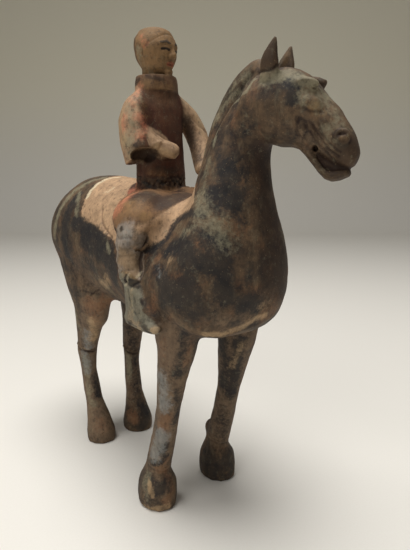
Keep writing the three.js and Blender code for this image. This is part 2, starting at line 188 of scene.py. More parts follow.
# Lines drawn in the soft clay: depth (minus is pressed in), half width, and the path.
TOOLED = (
    # the rider's face and cap of hair
    *face_pair(-0.35, 2.6, (13, 3.2, 304.2), (12, 8.2, 304.0)),
    *face_pair(0.45, 1.2, (14, 1.8, 306.6), (13, 5.2, 308.0), (11, 9.4, 306.8)),
    *face_pair(0.35, 0.7, (13.4, 3.1, 303.9), (12.8, 5.6, 304.9), (11.4, 8.3, 303.9)),
    *face_pair(-0.35, 0.45, (13.4, 3.0, 303.0), (12.8, 5.6, 303.3), (11.4, 8.4, 303.0)),
    on_face(0.5, 0.8, (12.6, 3.4, 294.9), (13.4, 0, 295.6), (12.6, -3.4, 294.9)),
    on_face(0.6, 0.9, (12.4, 2.7, 293.2), (13, 0, 292.9), (12.4, -2.7, 293.2)),
    on_face(-0.55, 0.45, (12.6, 3.6, 294.2), (13.2, 0, 294.3), (12.6, -3.6, 294.2)),
    *face_pair(0.3, 4.0, (11, 7.6, 298.2)),
    on_face(-0.3, 0.8, (8, 12, 309), (13, 6, 314), (14, 0, 315), (13, -6, 314), (8, -12, 309),
            (1, -15, 304), (-3, -14, 297)),
    on_face(-0.3, 0.8, (8, 12, 309), (1, 15, 304), (-3, 14, 297)),
    *face_pair(-0.5, 0.7, (-0.2, 15, 303.5), (-0.8, 15, 299.5)),
    on_face(-0.9, 1.3, (-9, -9, 314.5), (-12, -4, 312.5)),
    # the gap between throat and collar
    (-1.6, 1.1, (3.2, -0.6, 286), (0.4, 8.6, 286), (-6.7, 11.6, 286.5), (-14, 8.4, 287), (-17, -0.6, 287),
     (-14, -9.4, 287), (-6.7, -12.4, 286.5), (0.4, -9.8, 286), (3.2, -0.6, 286)),
    # folds of the robe
    (-0.6, 1.5, (2, -24, 266), (7, -27, 254), (8, -27, 244)),
    (-0.5, 1.3, (-8, -27, 262), (-6, -31, 250), (0, -30, 240)),
    (-0.5, 1.6, (4, -11, 262), (7, -11, 246)),
    (-0.5, 1.2, (8, -13, 249), (13, -8, 245)),
    (0.5, 1.0, (8, -16, 241), (12, -10, 243), (16, -5, 242)),
    (-0.7, 1.4, (6, 21, 262), (5, 33, 250), (12, 32, 240)),
    (-0.5, 1.2, (8, 26, 243), (16, 20, 232)),
    (-0.4, 1.6, (-17, -6, 262), (-15, -8, 240), (-15, -6, 226)),
    (-0.4, 1.6, (-17, 6, 262), (-16, 8, 240), (-15, 5, 226)),
    (-0.8, 1.2, (6, -12, 211), (10, 0, 211), (6, 11, 211), (-6, 17, 211), (-16, 10, 212), (-18, 0, 212),
     (-16, -11, 212), (-6, -18, 211), (6, -12, 211)),
    # trousers and boots
    (-1.0, 1.1, *THIGH_EDGE),
    (-1.0, 1.1, *mirrored(THIGH_EDGE, -0.5)),
    (-0.6, 1.2, *HIGH_FOLD),
    (0.5, 1.6, (16, -53, 180), (26, -53, 178), (36, -44, 179)),
    (-0.6, 1.1, *LOW_FOLD),
    (0.5, 1.3, (16, -52, 169), (26, -53, 167), (36, -44, 168)),
    (-0.5, 0.9, (17, -51, 164), (26, -53, 163), (35, -46, 164)),
    (-0.9, 0.8, *BOOT_TOP),
    (-0.6, 1.2, *mirrored(HIGH_FOLD)),
    (-0.6, 1.1, *mirrored(LOW_FOLD)),
    (-0.9, 0.8, *mirrored(BOOT_TOP)),
    (-0.5, 0.9, (33, -52, 152), (37, -50, 142), (44, -48, 136)),
    (-0.5, 0.8, *SOLE_EDGE),
    (-0.5, 0.8, *mirrored(SOLE_EDGE)),
    # the horse's head
    (-0.85, 0.8, (127, 9, 245), (128, 10, 241), (130, 13, 237), (132, 15, 233), (136, 18, 230)),
    (-0.75, 0.8, (125, 8, 242), (126, 10, 238), (128, 13, 235), (131, 16, 231), (133, 19, 227)),
    (-0.6, 0.7, (129, 10, 246), (130, 12, 241), (133, 15, 236), (137, 18, 232)),
    (-0.8, 0.8, (122, 4, 249), (124, 6, 247), (124, 7, 242), (121, 7, 239), (119, 5, 241), (120, 4, 246),
     (122, 4, 249)),
    (-0.9, 2.8, (122, 4, 267), (126, 6, 267), (129, 8, 265)),
    (0.2, 1.4, (122, 5, 257), (125, 6, 259), (129, 8, 259), (131, 11, 257)),
    (-0.7, 0.9, (123, 5, 254), (126, 7, 252), (130, 11, 252)),
    (0.35, 1.8, (93, -11, 257), (87, -10, 252), (88, -11, 246), (93, -7, 240), (97, -2, 237)),
    (-0.3, 2.2, (110, 0, 262), (113, 0, 250), (109, -1, 242)),
    (-0.35, 1.5, (123, 4, 267), (127, 8, 263), (131, 12, 258)),
    (-0.9, 0.8, (99, -9, 273), (104, -7, 273), (108, -5, 273), (112, -2, 275)),
    # the line between mane and neck
    (-0.9, 1.3, (92, -3, 274), (86, -4, 269), (77, -5, 259), (70, -8, 248), (66, -10, 236), (63, -13, 224),
     (62, -14, 214)),
    (-0.9, 1.3, (91, 10, 275), (82, 11, 267), (73, 11, 254), (66, 12, 240), (61, 13, 224)),
    (0.5, 1.2, (96, -4, 273), (89, -6, 267), (80, -8, 258), (73, -11, 247), (69, -14, 235), (67, -17, 224)),
    # legs, hooves and the cracks at the hocks
    (-1.3, 0.9, (-92, -30, 80), (-87, -30, 78), (-80, -26, 77), (-79, -20, 76)),
    (1.0, 1.1, (-91, -30, 83), (-86, -30, 81), (-80, -25, 80)),
    (-1.3, 0.9, (-92, 14, 69), (-87, 13, 67), (-82, 16, 66), (-81, 22, 66)),
    (1.0, 1.1, (-92, 14, 72), (-87, 13, 70), (-82, 16, 69)),
    (-0.6, 0.8, (-66, -34, 133), (-60, -29, 132), (-57, -24, 133)),
    (-0.5, 0.9, (-60, -19, 124), (-60, -14, 121)),
    (-0.5, 1.2, (30, -38, 31), (37, -38, 29), (43, -30, 27), (42, -20, 28)),
    (-0.5, 1.2, (28, 16, 32), (35, 16, 30), (41, 24, 28), (39, 34, 29)),
    (-0.4, 1.0, (-82, -28, 31), (-76, -27, 31), (-73, -20, 31)),
    (-0.4, 1.0, (-82, 10, 27), (-76, 10, 27), (-73, 18, 27)),
    (0.5, 2.2, (82, -18, 129), (87, -4, 131), (88, 10, 133), (88, 21, 138)),
    (-0.4, 0.6, (-73, -36, 131), (-68, -35, 133), (-63, -32, 135)),
)

# The rider's parts, for their colours: pigment, then the path with its radius at each point.
TROUSERS = (
    (31, -41, 184, 7.5), (28, -45, 184, 8.5), (25, -45, 177, 11.5), (26, -44, 166, 11), (29, -44, 160, 11.5),
)
BOOTS = (
    (30, -46, 154, 9), (33, -46, 150, 10), (35, -46, 144, 11.5), (37, -46, 138, 14), (44, -47, 132, 10),
    (54, -47, 131, 6), (58, -46, 131, 4),
)
DRESSED = (
    ("robe", (-4, -1, 214, 23), (-4, -1, 222, 24), (-5, -1, 262, 28), (-6, -1, 272, 22)),
    ("skirt", (-5, -28, 199, 14), (-5, 28, 199, 14)),
    ("skirt", (0, -3, 204, 14), (8, -21, 205, 14), (18, -35, 198, 14), (25, -42, 190, 11)),
    ("skirt", (0, 2, 204, 14), (8, 20, 205, 14), (18, 34, 198, 14), (25, 40, 190, 11)),
    ("skirt", (25, -34, 195, 14), (27, -18, 202, 13), (28, 0, 204, 13), (27, 18, 202, 13), (25, 34, 195, 14)),
    ("collar", (5, -1, 283, 5.5), (1, 8, 283, 5.5), (-7, 12, 284, 5.5), (-15, 8, 285, 5.5),
     (-19, -1, 285, 5.5), (-15, -10, 285, 5.5), (-7, -14, 284, 5.5), (1, -10, 283, 5.5), (5, -1, 283, 5.5)),
    ("trousers", *TROUSERS),
    ("trousers", *mirrored(TROUSERS)),
    ("sleeve", (-10, -17, 272, 9), (-8, -23, 262, 12), (-6, -23, 249, 12), (-3, -22, 242, 13),
     (0, -22, 237, 8)),
    ("sleeve", (-3, -18, 248, 9), (3, -13, 244, 8), (11, -7, 240, 8), (15, -2, 238, 7)),
    ("sleeve", (-9, 17, 271, 9), (-6, 25, 262, 11), (-1, 30, 249, 11), (9, 27, 236, 9), (20, 18, 225, 7)),
    ("boots", *BOOTS),
    ("boots", *mirrored(BOOTS)),
    ("skin", (-7, -1, 291, 13), (-7, -1, 297, 18), (-7, -1, 308, 18), (-7, -1, 316, 16)),
)

# The painted saddle cloth's edge, seen from the side as length and height; it is the same on both sides.
CLOTH_EDGE = (
    (-64, 236), (-65, 220), (-64, 211), (-63, 203), (-61, 194), (-53, 189), (-40, 187), (-24, 182),
    (-11, 179), (4, 174), (24, 170), (34, 176), (42, 180), (47, 184), (49, 190), (54, 197), (66, 201),
    (72, 205), (66, 211), (57, 216), (52, 236),
)

# Worn paint, dust and bare clay: pigment, half width, strength, and the marks of the path. A mark is a pixel
# of the photo as column and row, or a place on the figure.
# Painted shade and painted highlights are laid with them, each marked where it stands.
PAINTED = (
    # the head
    ("earth", 8, 0.5, (310, 140), (326, 140), (342, 150)),
    ("rust", 6, 0.3, (352, 148), (352, 162)),
    ("slate", 4.5, 0.95, (287, 83), (294, 89), (292, 96)),
    ("slate", 3, 0.4, (290, 104), (296, 112), (297, 122)),
    ("slate", 5, 0.6, (244, 110), (250, 120), (244, 128)),
    ("slate", 4, 0.4, (284, 124), (290, 134)),
    ("dust", 4, 0.9, (262, 77), (272, 74)),
    ("dust", 4.5, 0.95, (264, 76), (276, 73), (292, 73), (306, 76)),
    ("dust", 6, 0.75, (306, 82), (316, 86), (322, 94)),
    ("dust", 6, 0.6, (322, 102), (332, 113), (340, 124)),
    ("dust", 3.5, 0.5, (303, 92), (301, 102)),
    ("dust", 4, 0.6, (326, 126), (330, 138), (336, 148)),
    ("dust", 3, 0.4, (316, 162), (324, 172)),
    ("ochre", 3.0, 0.7, (310, 102), (313, 104)),
    ("ochre", 4, 0.4, (318, 110), (326, 118)),
    ("umber", 14, 0.35, (250, 105), (262, 115), (272, 125)),
    # painted shade in the open mouth behind the lips
    ("umber", 10, 1.0, (350, 150), (352, 166), (342, 166)),
    ("umber", 6, 1.0, (274, 40), (271, 52), (268, 62)),
    ("umber", 4, 0.6, (293, 54), (294, 64)),
    ("ochre", 4, 0.5, (288, 54), (288, 62)),
    ("umber", 1.4, 0.9, (259, 71), (266, 69), (275, 66)),
    ("umber", 1.3, 0.8, (279, 64), (288, 66), (294, 67)),
    # painted shade along the opening of the mouth
    ("umber", 2.0, 1.0, (319, 156), (327, 165), (335, 171), (350, 172)),
    # painted shade in the top of the nostril
    ("umber", 1.6, 1.0, (335, 135), (339, 131), (345, 133)),
    ("umber", 1.6, 0.9, (324, 82), (326, 89)),
    ("umber", 1.2, 0.9, (297, 119), (300, 124), (304, 127)),
    ("umber", 0.9, 0.7, (310, 121), (314, 128), (322, 138)),
    ("umber", 0.9, 0.7, (306, 125), (311, 133), (318, 142)),
    ("soot", 2.4, 1.0, (316, 148)),
    ("dust", 1.2, 0.9, (334, 139), (338, 144), (344, 144)),
    ("ochre", 2.2, 0.9, (140, 17, 238)),
    # the neck and the mane
    ("slate", 6.5, 0.95, (213, 194), (220, 204), (232, 204), (236, 196)),
    ("slate", 4, 0.5, (240, 214), (244, 222)),
    ("slate", 6.5, 0.9, (226, 166), (232, 178), (228, 190)),
    ("slate", 6, 0.7, (240, 172), (244, 182), (238, 192)),
    ("slate", 3.5, 0.5, (222, 128), (218, 144), (216, 158)),
    ("dust", 3, 0.5, (208, 160), (204, 178), (203, 192)),
    ("dust", 1.1, 0.95, (254, 79), (246, 91), (233, 103), (223, 117), (217, 131), (213, 146)),
    # painted shade: the front of the neck darkens under the jaw and down its side turned from the light
    ("umber", 10, 0.75, (262, 152), (264, 176), (268, 198)),
    ("umber", 5, 0.85, (256, 146), (266, 148), (270, 154)),
    ("dust", 6, 0.6, (246, 80), (234, 90), (223, 102), (213, 118), (207, 134), (203, 152)),
    ("umber", 1.0, 0.6, (240, 84), (226, 98), (214, 116), (208, 134)),
    ("umber", 1.0, 0.6, (232, 84), (219, 98), (208, 116), (203, 134)),
    # the breast
    ("earth", 8, 0.5, (214, 320), (240, 318), (262, 306)),
    ("rust", 5, 0.4, (226, 224), (234, 230)),
    ("rust", 8, 0.7, (270, 298), (274, 308), (266, 312)),
    ("rust", 6, 0.5, (250, 290), (262, 296)),
    ("rust", 5, 0.35, (236, 278), (240, 290)),
    ("slate", 7, 0.95, (196, 264), (208, 262), (216, 270)),
    ("slate", 5, 0.8, (204, 236), (210, 248)),
    ("slate", 6, 1.0, (220, 244), (221, 258), (221, 272), (223, 286), (224, 298)),
    ("slate", 6, 0.8, (196, 296), (200, 308), (190, 314)),
    ("slate", 5, 0.6, (212, 302), (214, 312)),
    ("slate", 4.5, 0.75, (250, 268), (247, 280)),
    ("slate", 6.5, 0.95, (242, 304), (252, 300), (256, 306)),
    ("slate", 4, 0.5, (232, 322), (242, 322)),
    # painted highlight along the breast's lower edge
    ("buff", 2.6, 0.85, (206, 334), (222, 333), (240, 327), (256, 318), (266, 314)),
    ("buff", 4, 0.5, (262, 306), (272, 300)),
    # painted shade down the side of the breast turned from the light
    ("umber", 16, 0.8, (270, 212), (275, 238), (278, 262), (277, 285)),
    # the shoulder and behind the boot
    ("dust", 5, 0.9, (130, 310), (128, 320)),
    ("rust", 5, 0.6, (200, 244), (204, 250)),
    ("rust", 3.5, 0.6, (170, 276), (182, 278), (194, 284)),
    ("rust", 4, 0.6, (150, 286), (154, 298), (152, 306)),
    ("slate", 6, 0.8, (161, 272), (165, 285), (162, 298)),
    ("dust", 4, 0.25, (150, 251), (153, 262)),
    # painted highlight: a short pale streak on the shoulder
    ("grey", 1.6, 0.45, (157, 266), (160, 275)),
    ("slate", 3.2, 0.85, (147, 249), (157, 245), (165, 239), (170, 231), (175, 223), (182, 216),
     (192, 213), (202, 214)),
    ("slate", 7, 1.0, (170, 250), (180, 244), (186, 252)),
    ("slate", 4, 0.7, (178, 256), (182, 264)),
    ("slate", 3.5, 0.85, (156, 268), (157, 280), (160, 286)),
    ("slate", 9, 1.0, (166, 290), (176, 292), (186, 286), (182, 300)),
    ("dust", 8, 0.55, (203, 214), (212, 221), (221, 230), (226, 240)),
    ("dust", 6, 0.55, (199, 196), (201, 206)),
    ("dust", 4, 0.45, (178, 226), (184, 232), (190, 228)),
    ("buff", 3.5, 0.4, (168, 256), (172, 262)),
    # the saddle cloth
    ("ivory", 1.5, 1.0, (118, 177), (107, 178), (98, 183), (91, 190), (87, 196)),
    ("ivory", 1.2, 0.6, (103, 192), (108, 191), (113, 187)),
    # the rump and the thigh
    ("earth", 8, 0.5, (76, 270), (88, 282), (104, 290)),
    ("rust", 8, 0.85, (90, 304), (100, 308), (108, 300)),
    ("rust", 5, 0.6, (94, 318), (100, 326)),
    ("slate", 6.5, 1.0, (76, 198), (69, 209), (65, 222), (63, 238), (66, 252)),
    ("slate", 6.5, 1.0, (74, 223), (80, 224), (86, 232), (98, 236), (104, 244)),
    ("slate", 7, 1.0, (84, 242), (96, 248), (106, 256), (112, 268), (113, 278)),
    ("slate", 8, 0.5, (72, 250), (80, 264), (90, 262)),
    ("slate", 4, 0.9, (110, 246), (113, 258), (115, 274)),
    ("slate", 6, 0.5, (68, 268), (74, 284), (76, 298)),
    ("dust", 4, 0.75, (54, 236), (56, 218), (63, 203), (75, 190), (90, 181), (104, 177)),
    ("dust", 3, 0.7, (79, 192), (77, 204), (76, 214)),
    ("dust", 1.8, 0.8, (107, 243), (109, 252)),
    ("dust", 5, 0.4, (98, 280), (108, 286), (112, 292)),
    ("dust", 3.5, 0.6, (70, 296), (74, 312), (79, 328)),
    ("umber", 0.8, 0.8, (88, 296), (94, 292), (100, 289)),
    ("buff", 5, 0.6, (-20, -33, 150), (-36, -30, 144)),
    # the right foreleg
    ("earth", 14, 0.9, (170, 340), (168, 380), (166, 420), (160, 450)),
    ("earth", 14, 0.7, (158, 480), (156, 500)),
    ("rust", 5, 0.4, (164, 340), (162, 360)),
    ("rust", 4.5, 0.95, (164, 416), (163, 427)),
    ("rust", 3.5, 0.5, (190, 344), (186, 362)),
    ("rust", 4, 0.8, (168, 480), (170, 492), (166, 502)),
    ("rust", 2.5, 0.7, (158, 466), (160, 470)),
    ("slate", 4, 0.7, (184, 330), (184, 348), (178, 362), (176, 374)),
    ("slate", 3, 0.6, (176, 392), (178, 410), (174, 424)),
    ("slate", 2, 0.8, (166, 456), (160, 462), (152, 462)),
    ("slate", 6, 0.8, (148, 482), (157, 492), (166, 484)),
    ("slate", 4, 0.7, (147, 500), (158, 503)),
    ("rust", 3, 0.8, (156, 466), (164, 470)),
    ("slate", 3, 0.8, (164, 445), (162, 453)),
    ("rust", 3, 0.7, (166, 458), (160, 464)),
    ("dust", 3, 0.6, (148, 474), (144, 486), (146, 496)),
    ("buff", 1.6, 0.85, (148, 482), (150, 490), (152, 496)),
    ("buff", 2.2, 0.6, (144, 506), (158, 509), (168, 505)),
    ("grey", 5, 0.8, (160, 376), (162, 392), (163, 406)),
    ("grey", 5, 0.9, (160, 434), (158, 446), (154, 456)),
    # the left foreleg
    ("earth", 14, 0.8, (234, 345), (226, 380), (222, 410), (222, 430)),
    ("rust", 4, 0.35, (232, 332), (240, 336)),
    ("umber", 9, 0.2, (236, 350), (230, 380), (226, 410)),
    ("slate", 6, 0.8, (222, 342), (226, 362), (224, 384)),
    ("slate", 5, 0.9, (240, 340), (236, 366), (230, 394)),
    ("slate", 6, 0.6, (222, 412), (222, 436)),
    ("slate", 12, 0.7, (208, 462), (218, 474), (228, 462)),
    ("buff", 3, 0.5, (63, 18, 113), (54, 18, 94)),
    # the right hind leg
    ("earth", 14, 0.9, (96, 310), (90, 340), (90, 370), (92, 400), (98, 425)),
    ("rust", 5, 0.4, (100, 420), (104, 430)),
    ("grey", 5, 0.7, (84, 353), (86, 370)),
    ("slate", 4, 0.7, (94, 376), (98, 394)),
    ("slate", 3, 0.5, (82, 338), (84, 348)),
    ("slate", 3, 0.5, (84, 350), (84, 364)),
    ("dust", 3.5, 0.65, (84, 358), (87, 376), (88, 392), (92, 404)),
    ("dust", 4, 0.35, (90, 412), (90, 430)),
    ("buff", 5, 0.7, (92, 322), (93, 338)),
    ("grey", 5, 0.6, (86, 332), (88, 346)),
    ("umber", 1.6, 0.8, (84, 349), (90, 350), (96, 348)),
    ("ivory", 1.0, 0.25, (86, 345), (92, 343)),
    # the left hind leg
    ("earth", 12, 0.6, (130, 330), (132, 360), (134, 390)),
    ("rust", 4.5, 0.9, (129, 414), (134, 420)),
    ("slate", 5, 0.6, (128, 328), (132, 340), (134, 352), (136, 372), (136, 392)),
    ("slate", 5, 0.75, (140, 402), (148, 416), (140, 428)),
    ("dust", 2.5, 0.75, (126, 352), (128, 366), (129, 380)),
    ("umber", 1.8, 0.9, (126, 350), (133, 351), (139, 349)),
    ("ivory", 0.9, 0.25, (127, 348), (133, 350)),
    # the left side, plainer
    ("slate", 9, 0.8, (-60, 39, 176), (-38, 39, 170), (-12, 38, 160)),
    ("slate", 8, 0.8, (66, 38, 176), (80, 36, 160)),
    ("slate", 7, 0.7, (80, 22, 226), (76, 28, 206)),
    ("slate", 6, 0.7, (92, 30, 262), (100, 32, 252)),
    ("dust", 6, 0.6, (78, 30, 198), (88, 26, 186)),
    ("dust", 7, 0.5, (-84, 38, 150), (-82, 34, 124)),
    ("rust", 8, 0.7, (-64, 30, 126), (-60, 24, 120)),
)

# Paint on the rider, over the colours of robe, sleeves, trousers and boots, with painted shade marked below.
RIDER_PAINTED = (
    # the head
    ("umber", 3, 0.6, (134, 34), (132, 48), (136, 62)),
    ("salmon", 3, 0.6, (140, 36), (142, 44)),
    ("dust", 3.5, 0.5, (138, 50), (142, 66), (150, 72)),
    # the robe and its collar
    ("umber", 4.5, 1.0, (138, 183), (150, 183), (165, 181), (182, 181)),
    # painted shade in the gap between throat and collar
    ("umber", 2.0, 0.9, (138, 79), (135, 83)),
    ("umber", 1.2, 0.8, (145, 75), (152, 77), (162, 79)),
    ("ochre", 4, 0.6, (142, 84), (158, 87), (172, 87)),
    ("collar", 7, 0.7, (148, 96), (160, 98), (172, 98)),
    ("skirt", 5, 0.5, (150, 172), (162, 174)),
    ("soot", 1.2, 0.8, (143, 182), (149, 184)),
    ("soot", 1.2, 0.8, (158, 180), (163, 183)),
    ("soot", 1.2, 0.8, (174, 180), (179, 183)),
    # the right arm
    # painted shade inside the opening of the right sleeve
    ("umber", 5, 1.0, (134, 157), (142, 154), (152, 151), (150, 158)),
    ("ochre", 4, 0.5, (142, 104), (146, 114)),
    ("salmon", 4, 0.6, (139, 86), (134, 94), (130, 104)),
    ("salmon", 4, 0.6, (138, 116), (145, 126), (138, 136)),
    ("salmon", 3, 0.6, (124, 116), (122, 130)),
    ("dust", 4, 0.6, (129, 108), (133, 122), (130, 132)),
    ("umber", 0.8, 0.35, (131, 106), (136, 120), (139, 138)),
    ("umber", 0.8, 0.35, (125, 120), (128, 134), (134, 144)),
    ("buff", 3.5, 0.8, (121, 112), (119, 124), (122, 140)),
    ("buff", 1.4, 0.8, (128, 158), (134, 151), (146, 148), (156, 144)),
    ("buff", 2.0, 0.7, (158, 150), (168, 152), (174, 156)),
    ("umber", 3, 0.75, (158, 168), (168, 171), (176, 168)),
    ("umber", 0.9, 0.7, (155, 150), (159, 158), (160, 168)),
    ("dust", 5, 0.8, (126, 140), (136, 146), (130, 152)),
    ("dust", 3.5, 0.6, (134, 96), (138, 98)),
    # the left arm
    ("umber", 5, 0.8, (186, 120), (190, 140), (196, 160)),
    ("umber", 1.0, 0.4, (190, 116), (196, 130), (198, 146)),
    ("dust", 4, 0.5, (186, 96), (194, 108), (200, 122)),
    ("buff", 3, 0.5, (190, 104), (196, 116), (202, 132)),
    # the lap and the hip
    ("umber", 10, 0.95, (144, 194), (156, 200), (168, 202), (180, 194)),
    ("umber", 5, 0.6, (180, 190), (186, 196)),
    ("umber", 1.6, 0.8, (107, 210), (110, 219), (115, 230)),
    ("ochre", 7, 0.5, (128, 203), (137, 208)),
    ("ochre", 4, 0.85, (144, 217), (147, 223), (145, 228)),
    ("salmon", 6, 0.95, (114, 211), (116, 203), (121, 197), (128, 192), (136, 190)),
    ("salmon", 6, 0.8, (119, 206), (124, 199), (132, 194)),
    # the right leg
    # painted shade along the front edge of the right leg
    ("umber", 1.1, 0.9, (150, 228), (146, 236), (142, 246), (140, 258), (141, 270), (143, 282)),
    ("ochre", 6, 0.9, (122, 256), (130, 262), (128, 270), (138, 264)),
    ("trousers", 7, 1.0, (121, 233), (130, 230)),
    ("grey", 6, 0.5, (122, 236), (130, 232), (128, 244)),
    ("umber", 3, 0.4, (122, 248), (132, 246)),
    ("soot", 1.8, 0.8, (121, 228)),
    ("soot", 2.6, 0.6, (132, 238), (137, 232)),
    # the right boot
    # painted shade down the front of the boot
    ("umber", 1.2, 0.9, (143, 300), (150, 312), (158, 324)),
    ("umber", 1.3, 0.95, (130, 321), (140, 330), (150, 335), (160, 335)),
    ("soot", 5, 0.3, (132, 296), (136, 308), (146, 318)),
    ("soot", 0.8, 0.45, (127, 289), (129, 300)),
    ("soot", 1.2, 0.5, (134, 299), (134, 306)),
    ("soot", 1.1, 0.5, (134, 312), (136, 315)),
    ("soot", 1.3, 0.6, (139, 321), (146, 328)),
    ("buff", 4, 0.5, (131, 310), (128, 319), (138, 326)),
    ("dust", 5, 0.5, (130, 296), (134, 308), (140, 318)),
    ("soot", 1.0, 0.6, (140, 300), (146, 310), (148, 318)),
    ("soot", 1.8, 0.8, (143, 328), (147, 331)),
    ("buff", 1.4, 0.7, (145, 288), (146, 298)),
    ("buff", 1.4, 0.4, (131, 290), (131, 304)),
    ("soot", 2.0, 0.9, (128, 281), (133, 284), (140, 286), (143, 279)),
    ("soot", 1.4, 1.0, (126, 276), (125, 280)),
    ("ivory", 0.8, 0.6, (128, 274), (126, 284), (123, 287)),
    ("ivory", 0.8, 0.5, (136, 276), (141, 272)),
    ("buff", 2.6, 0.9, (152, 330), (158, 328)),
    # the left leg
    ("ochre", 9, 0.7, (28, 47, 176), (32, 47, 163)),
)

# The rider's painted brows, eyes and lips.
FACE_PAINTED = (
    *face_pair("soot", 0.7, 0.9, (14, 2.6, 307.2), (13, 5.4, 308.2), (11, 9.0, 307.2)),
    *face_pair("soot", 0.65, 1.0, (13.4, 3.2, 303.2), (13, 5.6, 303.5), (11.4, 8.2, 303.2)),
    on_face("red", 1.3, 0.9, (12.6, 2.6, 294.3), (13.2, 0, 294.3), (12.6, -2.6, 294.3)),
)

# Pigment, seed, wear and opacity, from the lowest coat up.
COATS = (
    ("earth", 2.0, 0.9, 0.8),
    ("cloth", 3.0, 0.65, 0.88),
    ("rust", 11.0, 0.9, 0.6),
    ("slate", 17.0, 0.85, 0.92),
    ("robe", 43.0, 0.25, 0.97),
    ("skirt", 45.0, 0.25, 0.97),
    ("collar", 49.0, 0.25, 0.97),
    ("trousers", 37.0, 0.6, 0.9),
    ("boots", 41.0, 1.0, 0.88),
    ("sleeve", 47.0, 0.5, 0.92),
    ("skin", 53.0, 0.2, 0.97),
    ("dust", 23.0, 0.9, 0.65),
    ("buff", 29.0, 0.8, 0.65),
    ("grey", 31.0, 0.9, 0.6),
    ("salmon", 59.0, 0.9, 0.5),
    ("ochre", 61.0, 0.8, 0.6),
    ("umber", 67.0, 0.5, 0.88),
    ("soot", 71.0, 0.4, 0.92),
    ("red", 73.0, 0.3, 0.6),
    ("ivory", 79.0, 0.35, 0.75),
)


# Mesh helpers.

def only(obj):
    bpy.ops.object.select_all(action="DESELECT")
    obj.select_set(True)
    bpy.context.view_layer.objects.active = obj


def apply_modifier(obj, name, kind, **values):
    only(obj)
    modifier = obj.modifiers.new(name, kind)
    for key, value in values.items():
        setattr(modifier, key, value)
    bpy.ops.object.modifier_apply(modifier=name)


def copy_solid(name):
    """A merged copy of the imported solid, as an object of its own."""
    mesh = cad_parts[NODE].data.copy()
    obj = bpy.data.objects.new(name, mesh)
    bpy.context.collection.objects.link(obj)
    only(obj)
    bpy.ops.object.mode_set(mode="EDIT")
    bpy.ops.mesh.select_all(action="SELECT")
    bpy.ops.mesh.remove_doubles(threshold=0.000002)
    bpy.ops.object.mode_set(mode="OBJECT")
    return obj


def clay_lump(place, radii, turn):
    bpy.ops.object.select_all(action="DESELECT")
    bpy.ops.mesh.primitive_uv_sphere_add(
        segments=24, ring_count=12, radius=1.0, location=[MM * c for c in place], rotation=(0, 0, turn),
        scale=[MM * r for r in radii])
    bpy.ops.object.transform_apply(location=True, rotation=True, scale=True)
    return bpy.context.object


def join_lumps(obj, lumps):
    made = [clay_lump(*lump) for lump in lumps]
    only(obj)
    for lump in made:
        lump.select_set(True)
    bpy.ops.object.join()


def points_of(obj):
    """Vertex places in millimetres."""
    data = np.empty(3 * len(obj.data.vertices), np.float32)
    obj.data.vertices.foreach_get("co", data)
    return data.reshape(-1, 3).astype(np.float64) / MM


def put_points(obj, points):
    obj.data.vertices.foreach_set("co", (points * MM).astype(np.float32).ravel())
    obj.data.update()


def normals_of(obj):
    data = np.empty(3 * len(obj.data.vertices), np.float32)
    obj.data.vertices.foreach_get("normal", data)
    return data.reshape(-1, 3).astype(np.float64)


def edges_of(obj):
    data = np.empty(2 * len(obj.data.edges), np.int32)
    obj.data.edges.foreach_get("vertices", data)
    return data.reshape(-1, 2)


def path_distance(points, path):
    """Each point's distance to a path, and the path's nearest point and its fraction and segment."""
    best = np.full(len(points), 1e9)
    segment = np.zeros(len(points), np.int32)
    fraction = np.zeros(len(points))
    corners = [np.array(p[:3], float) for p in path]
    if len(corners) == 1:
        return np.linalg.norm(points - corners[0], axis=1), segment, fraction
    for i, (a, b) in enumerate(zip(corners, corners[1:])):
        span = b - a
        t = np.clip((points - a) @ span / (span @ span), 0, 1)
        distance = np.linalg.norm(points - a - t[:, None] * span, axis=1)
        nearer = distance < best
        best[nearer] = distance[nearer]
        segment[nearer] = i
        fraction[nearer] = t[nearer]
    return best, segment, fraction


def within(points, line, reach):
    """Which points lie in the box round a line, widened by a reach."""
    low, high = np.min(line, axis=0) - reach, np.max(line, axis=0) + reach
    return np.nonzero(np.all((points > low) & (points < high), axis=1))[0]


def fade(value, full, none):
    """One where the value reaches full, nothing where it reaches none, and smooth between."""
    t = np.clip((value - none) / (full - none), 0, 1)
    return t * t * (3 - 2 * t)


def neighbour_mean(field, edges, count):
    first, second = edges[:, 0], edges[:, 1]
    total = np.empty_like(field)
    for axis in range(field.shape[1]):
        gained = np.bincount(first, field[second, axis], len(field))
        total[:, axis] = gained + np.bincount(second, field[first, axis], len(field))
    return total / count[:, None]


def evened(field, edges, rate, rounds):
    """The field averaged with its neighbours, at each vertex's own rate."""
    count = np.bincount(edges.ravel(), minlength=len(field)).astype(float)
    count[count == 0] = 1
    for _ in range(rounds):
        field = field + rate[:, None] * (neighbour_mean(field, edges, count) - field)
    return field


def smoothed(points, edges, rate, rounds):
    """Evened points, with what the rounded forms lost put back."""
    once = evened(points, edges, rate, rounds)
    return once - evened(once - points, edges, rate, rounds)


def surface_tree(obj):
    return BVHTree.FromPolygons([vertex.co for vertex in obj.data.vertices],
                                [tuple(face.vertices) for face in obj.data.polygons])


def on_surface(tree, path, step=1.5):
    """The path as short steps that all lie on the surface."""
    dense = [path[0]]
    for a, b in zip(path, path[1:]):
        parts = max(1, math.ceil(math.dist(a, b) / step))
        dense += [tuple(p + (q - p) * k / parts for p, q in zip(a, b)) for k in range(1, parts + 1)]
    found = [tree.find_nearest(Vector(p) * MM)[0] for p in dense]
    return [tuple(c / MM for c in place) for place in found]


def looking(pitch):
    """The photo's line of sight, at a pitch."""
    level = Vector((*PHOTO_HEADING, 0.0)).normalized()
    return level * math.cos(pitch) - UP * math.sin(pitch)


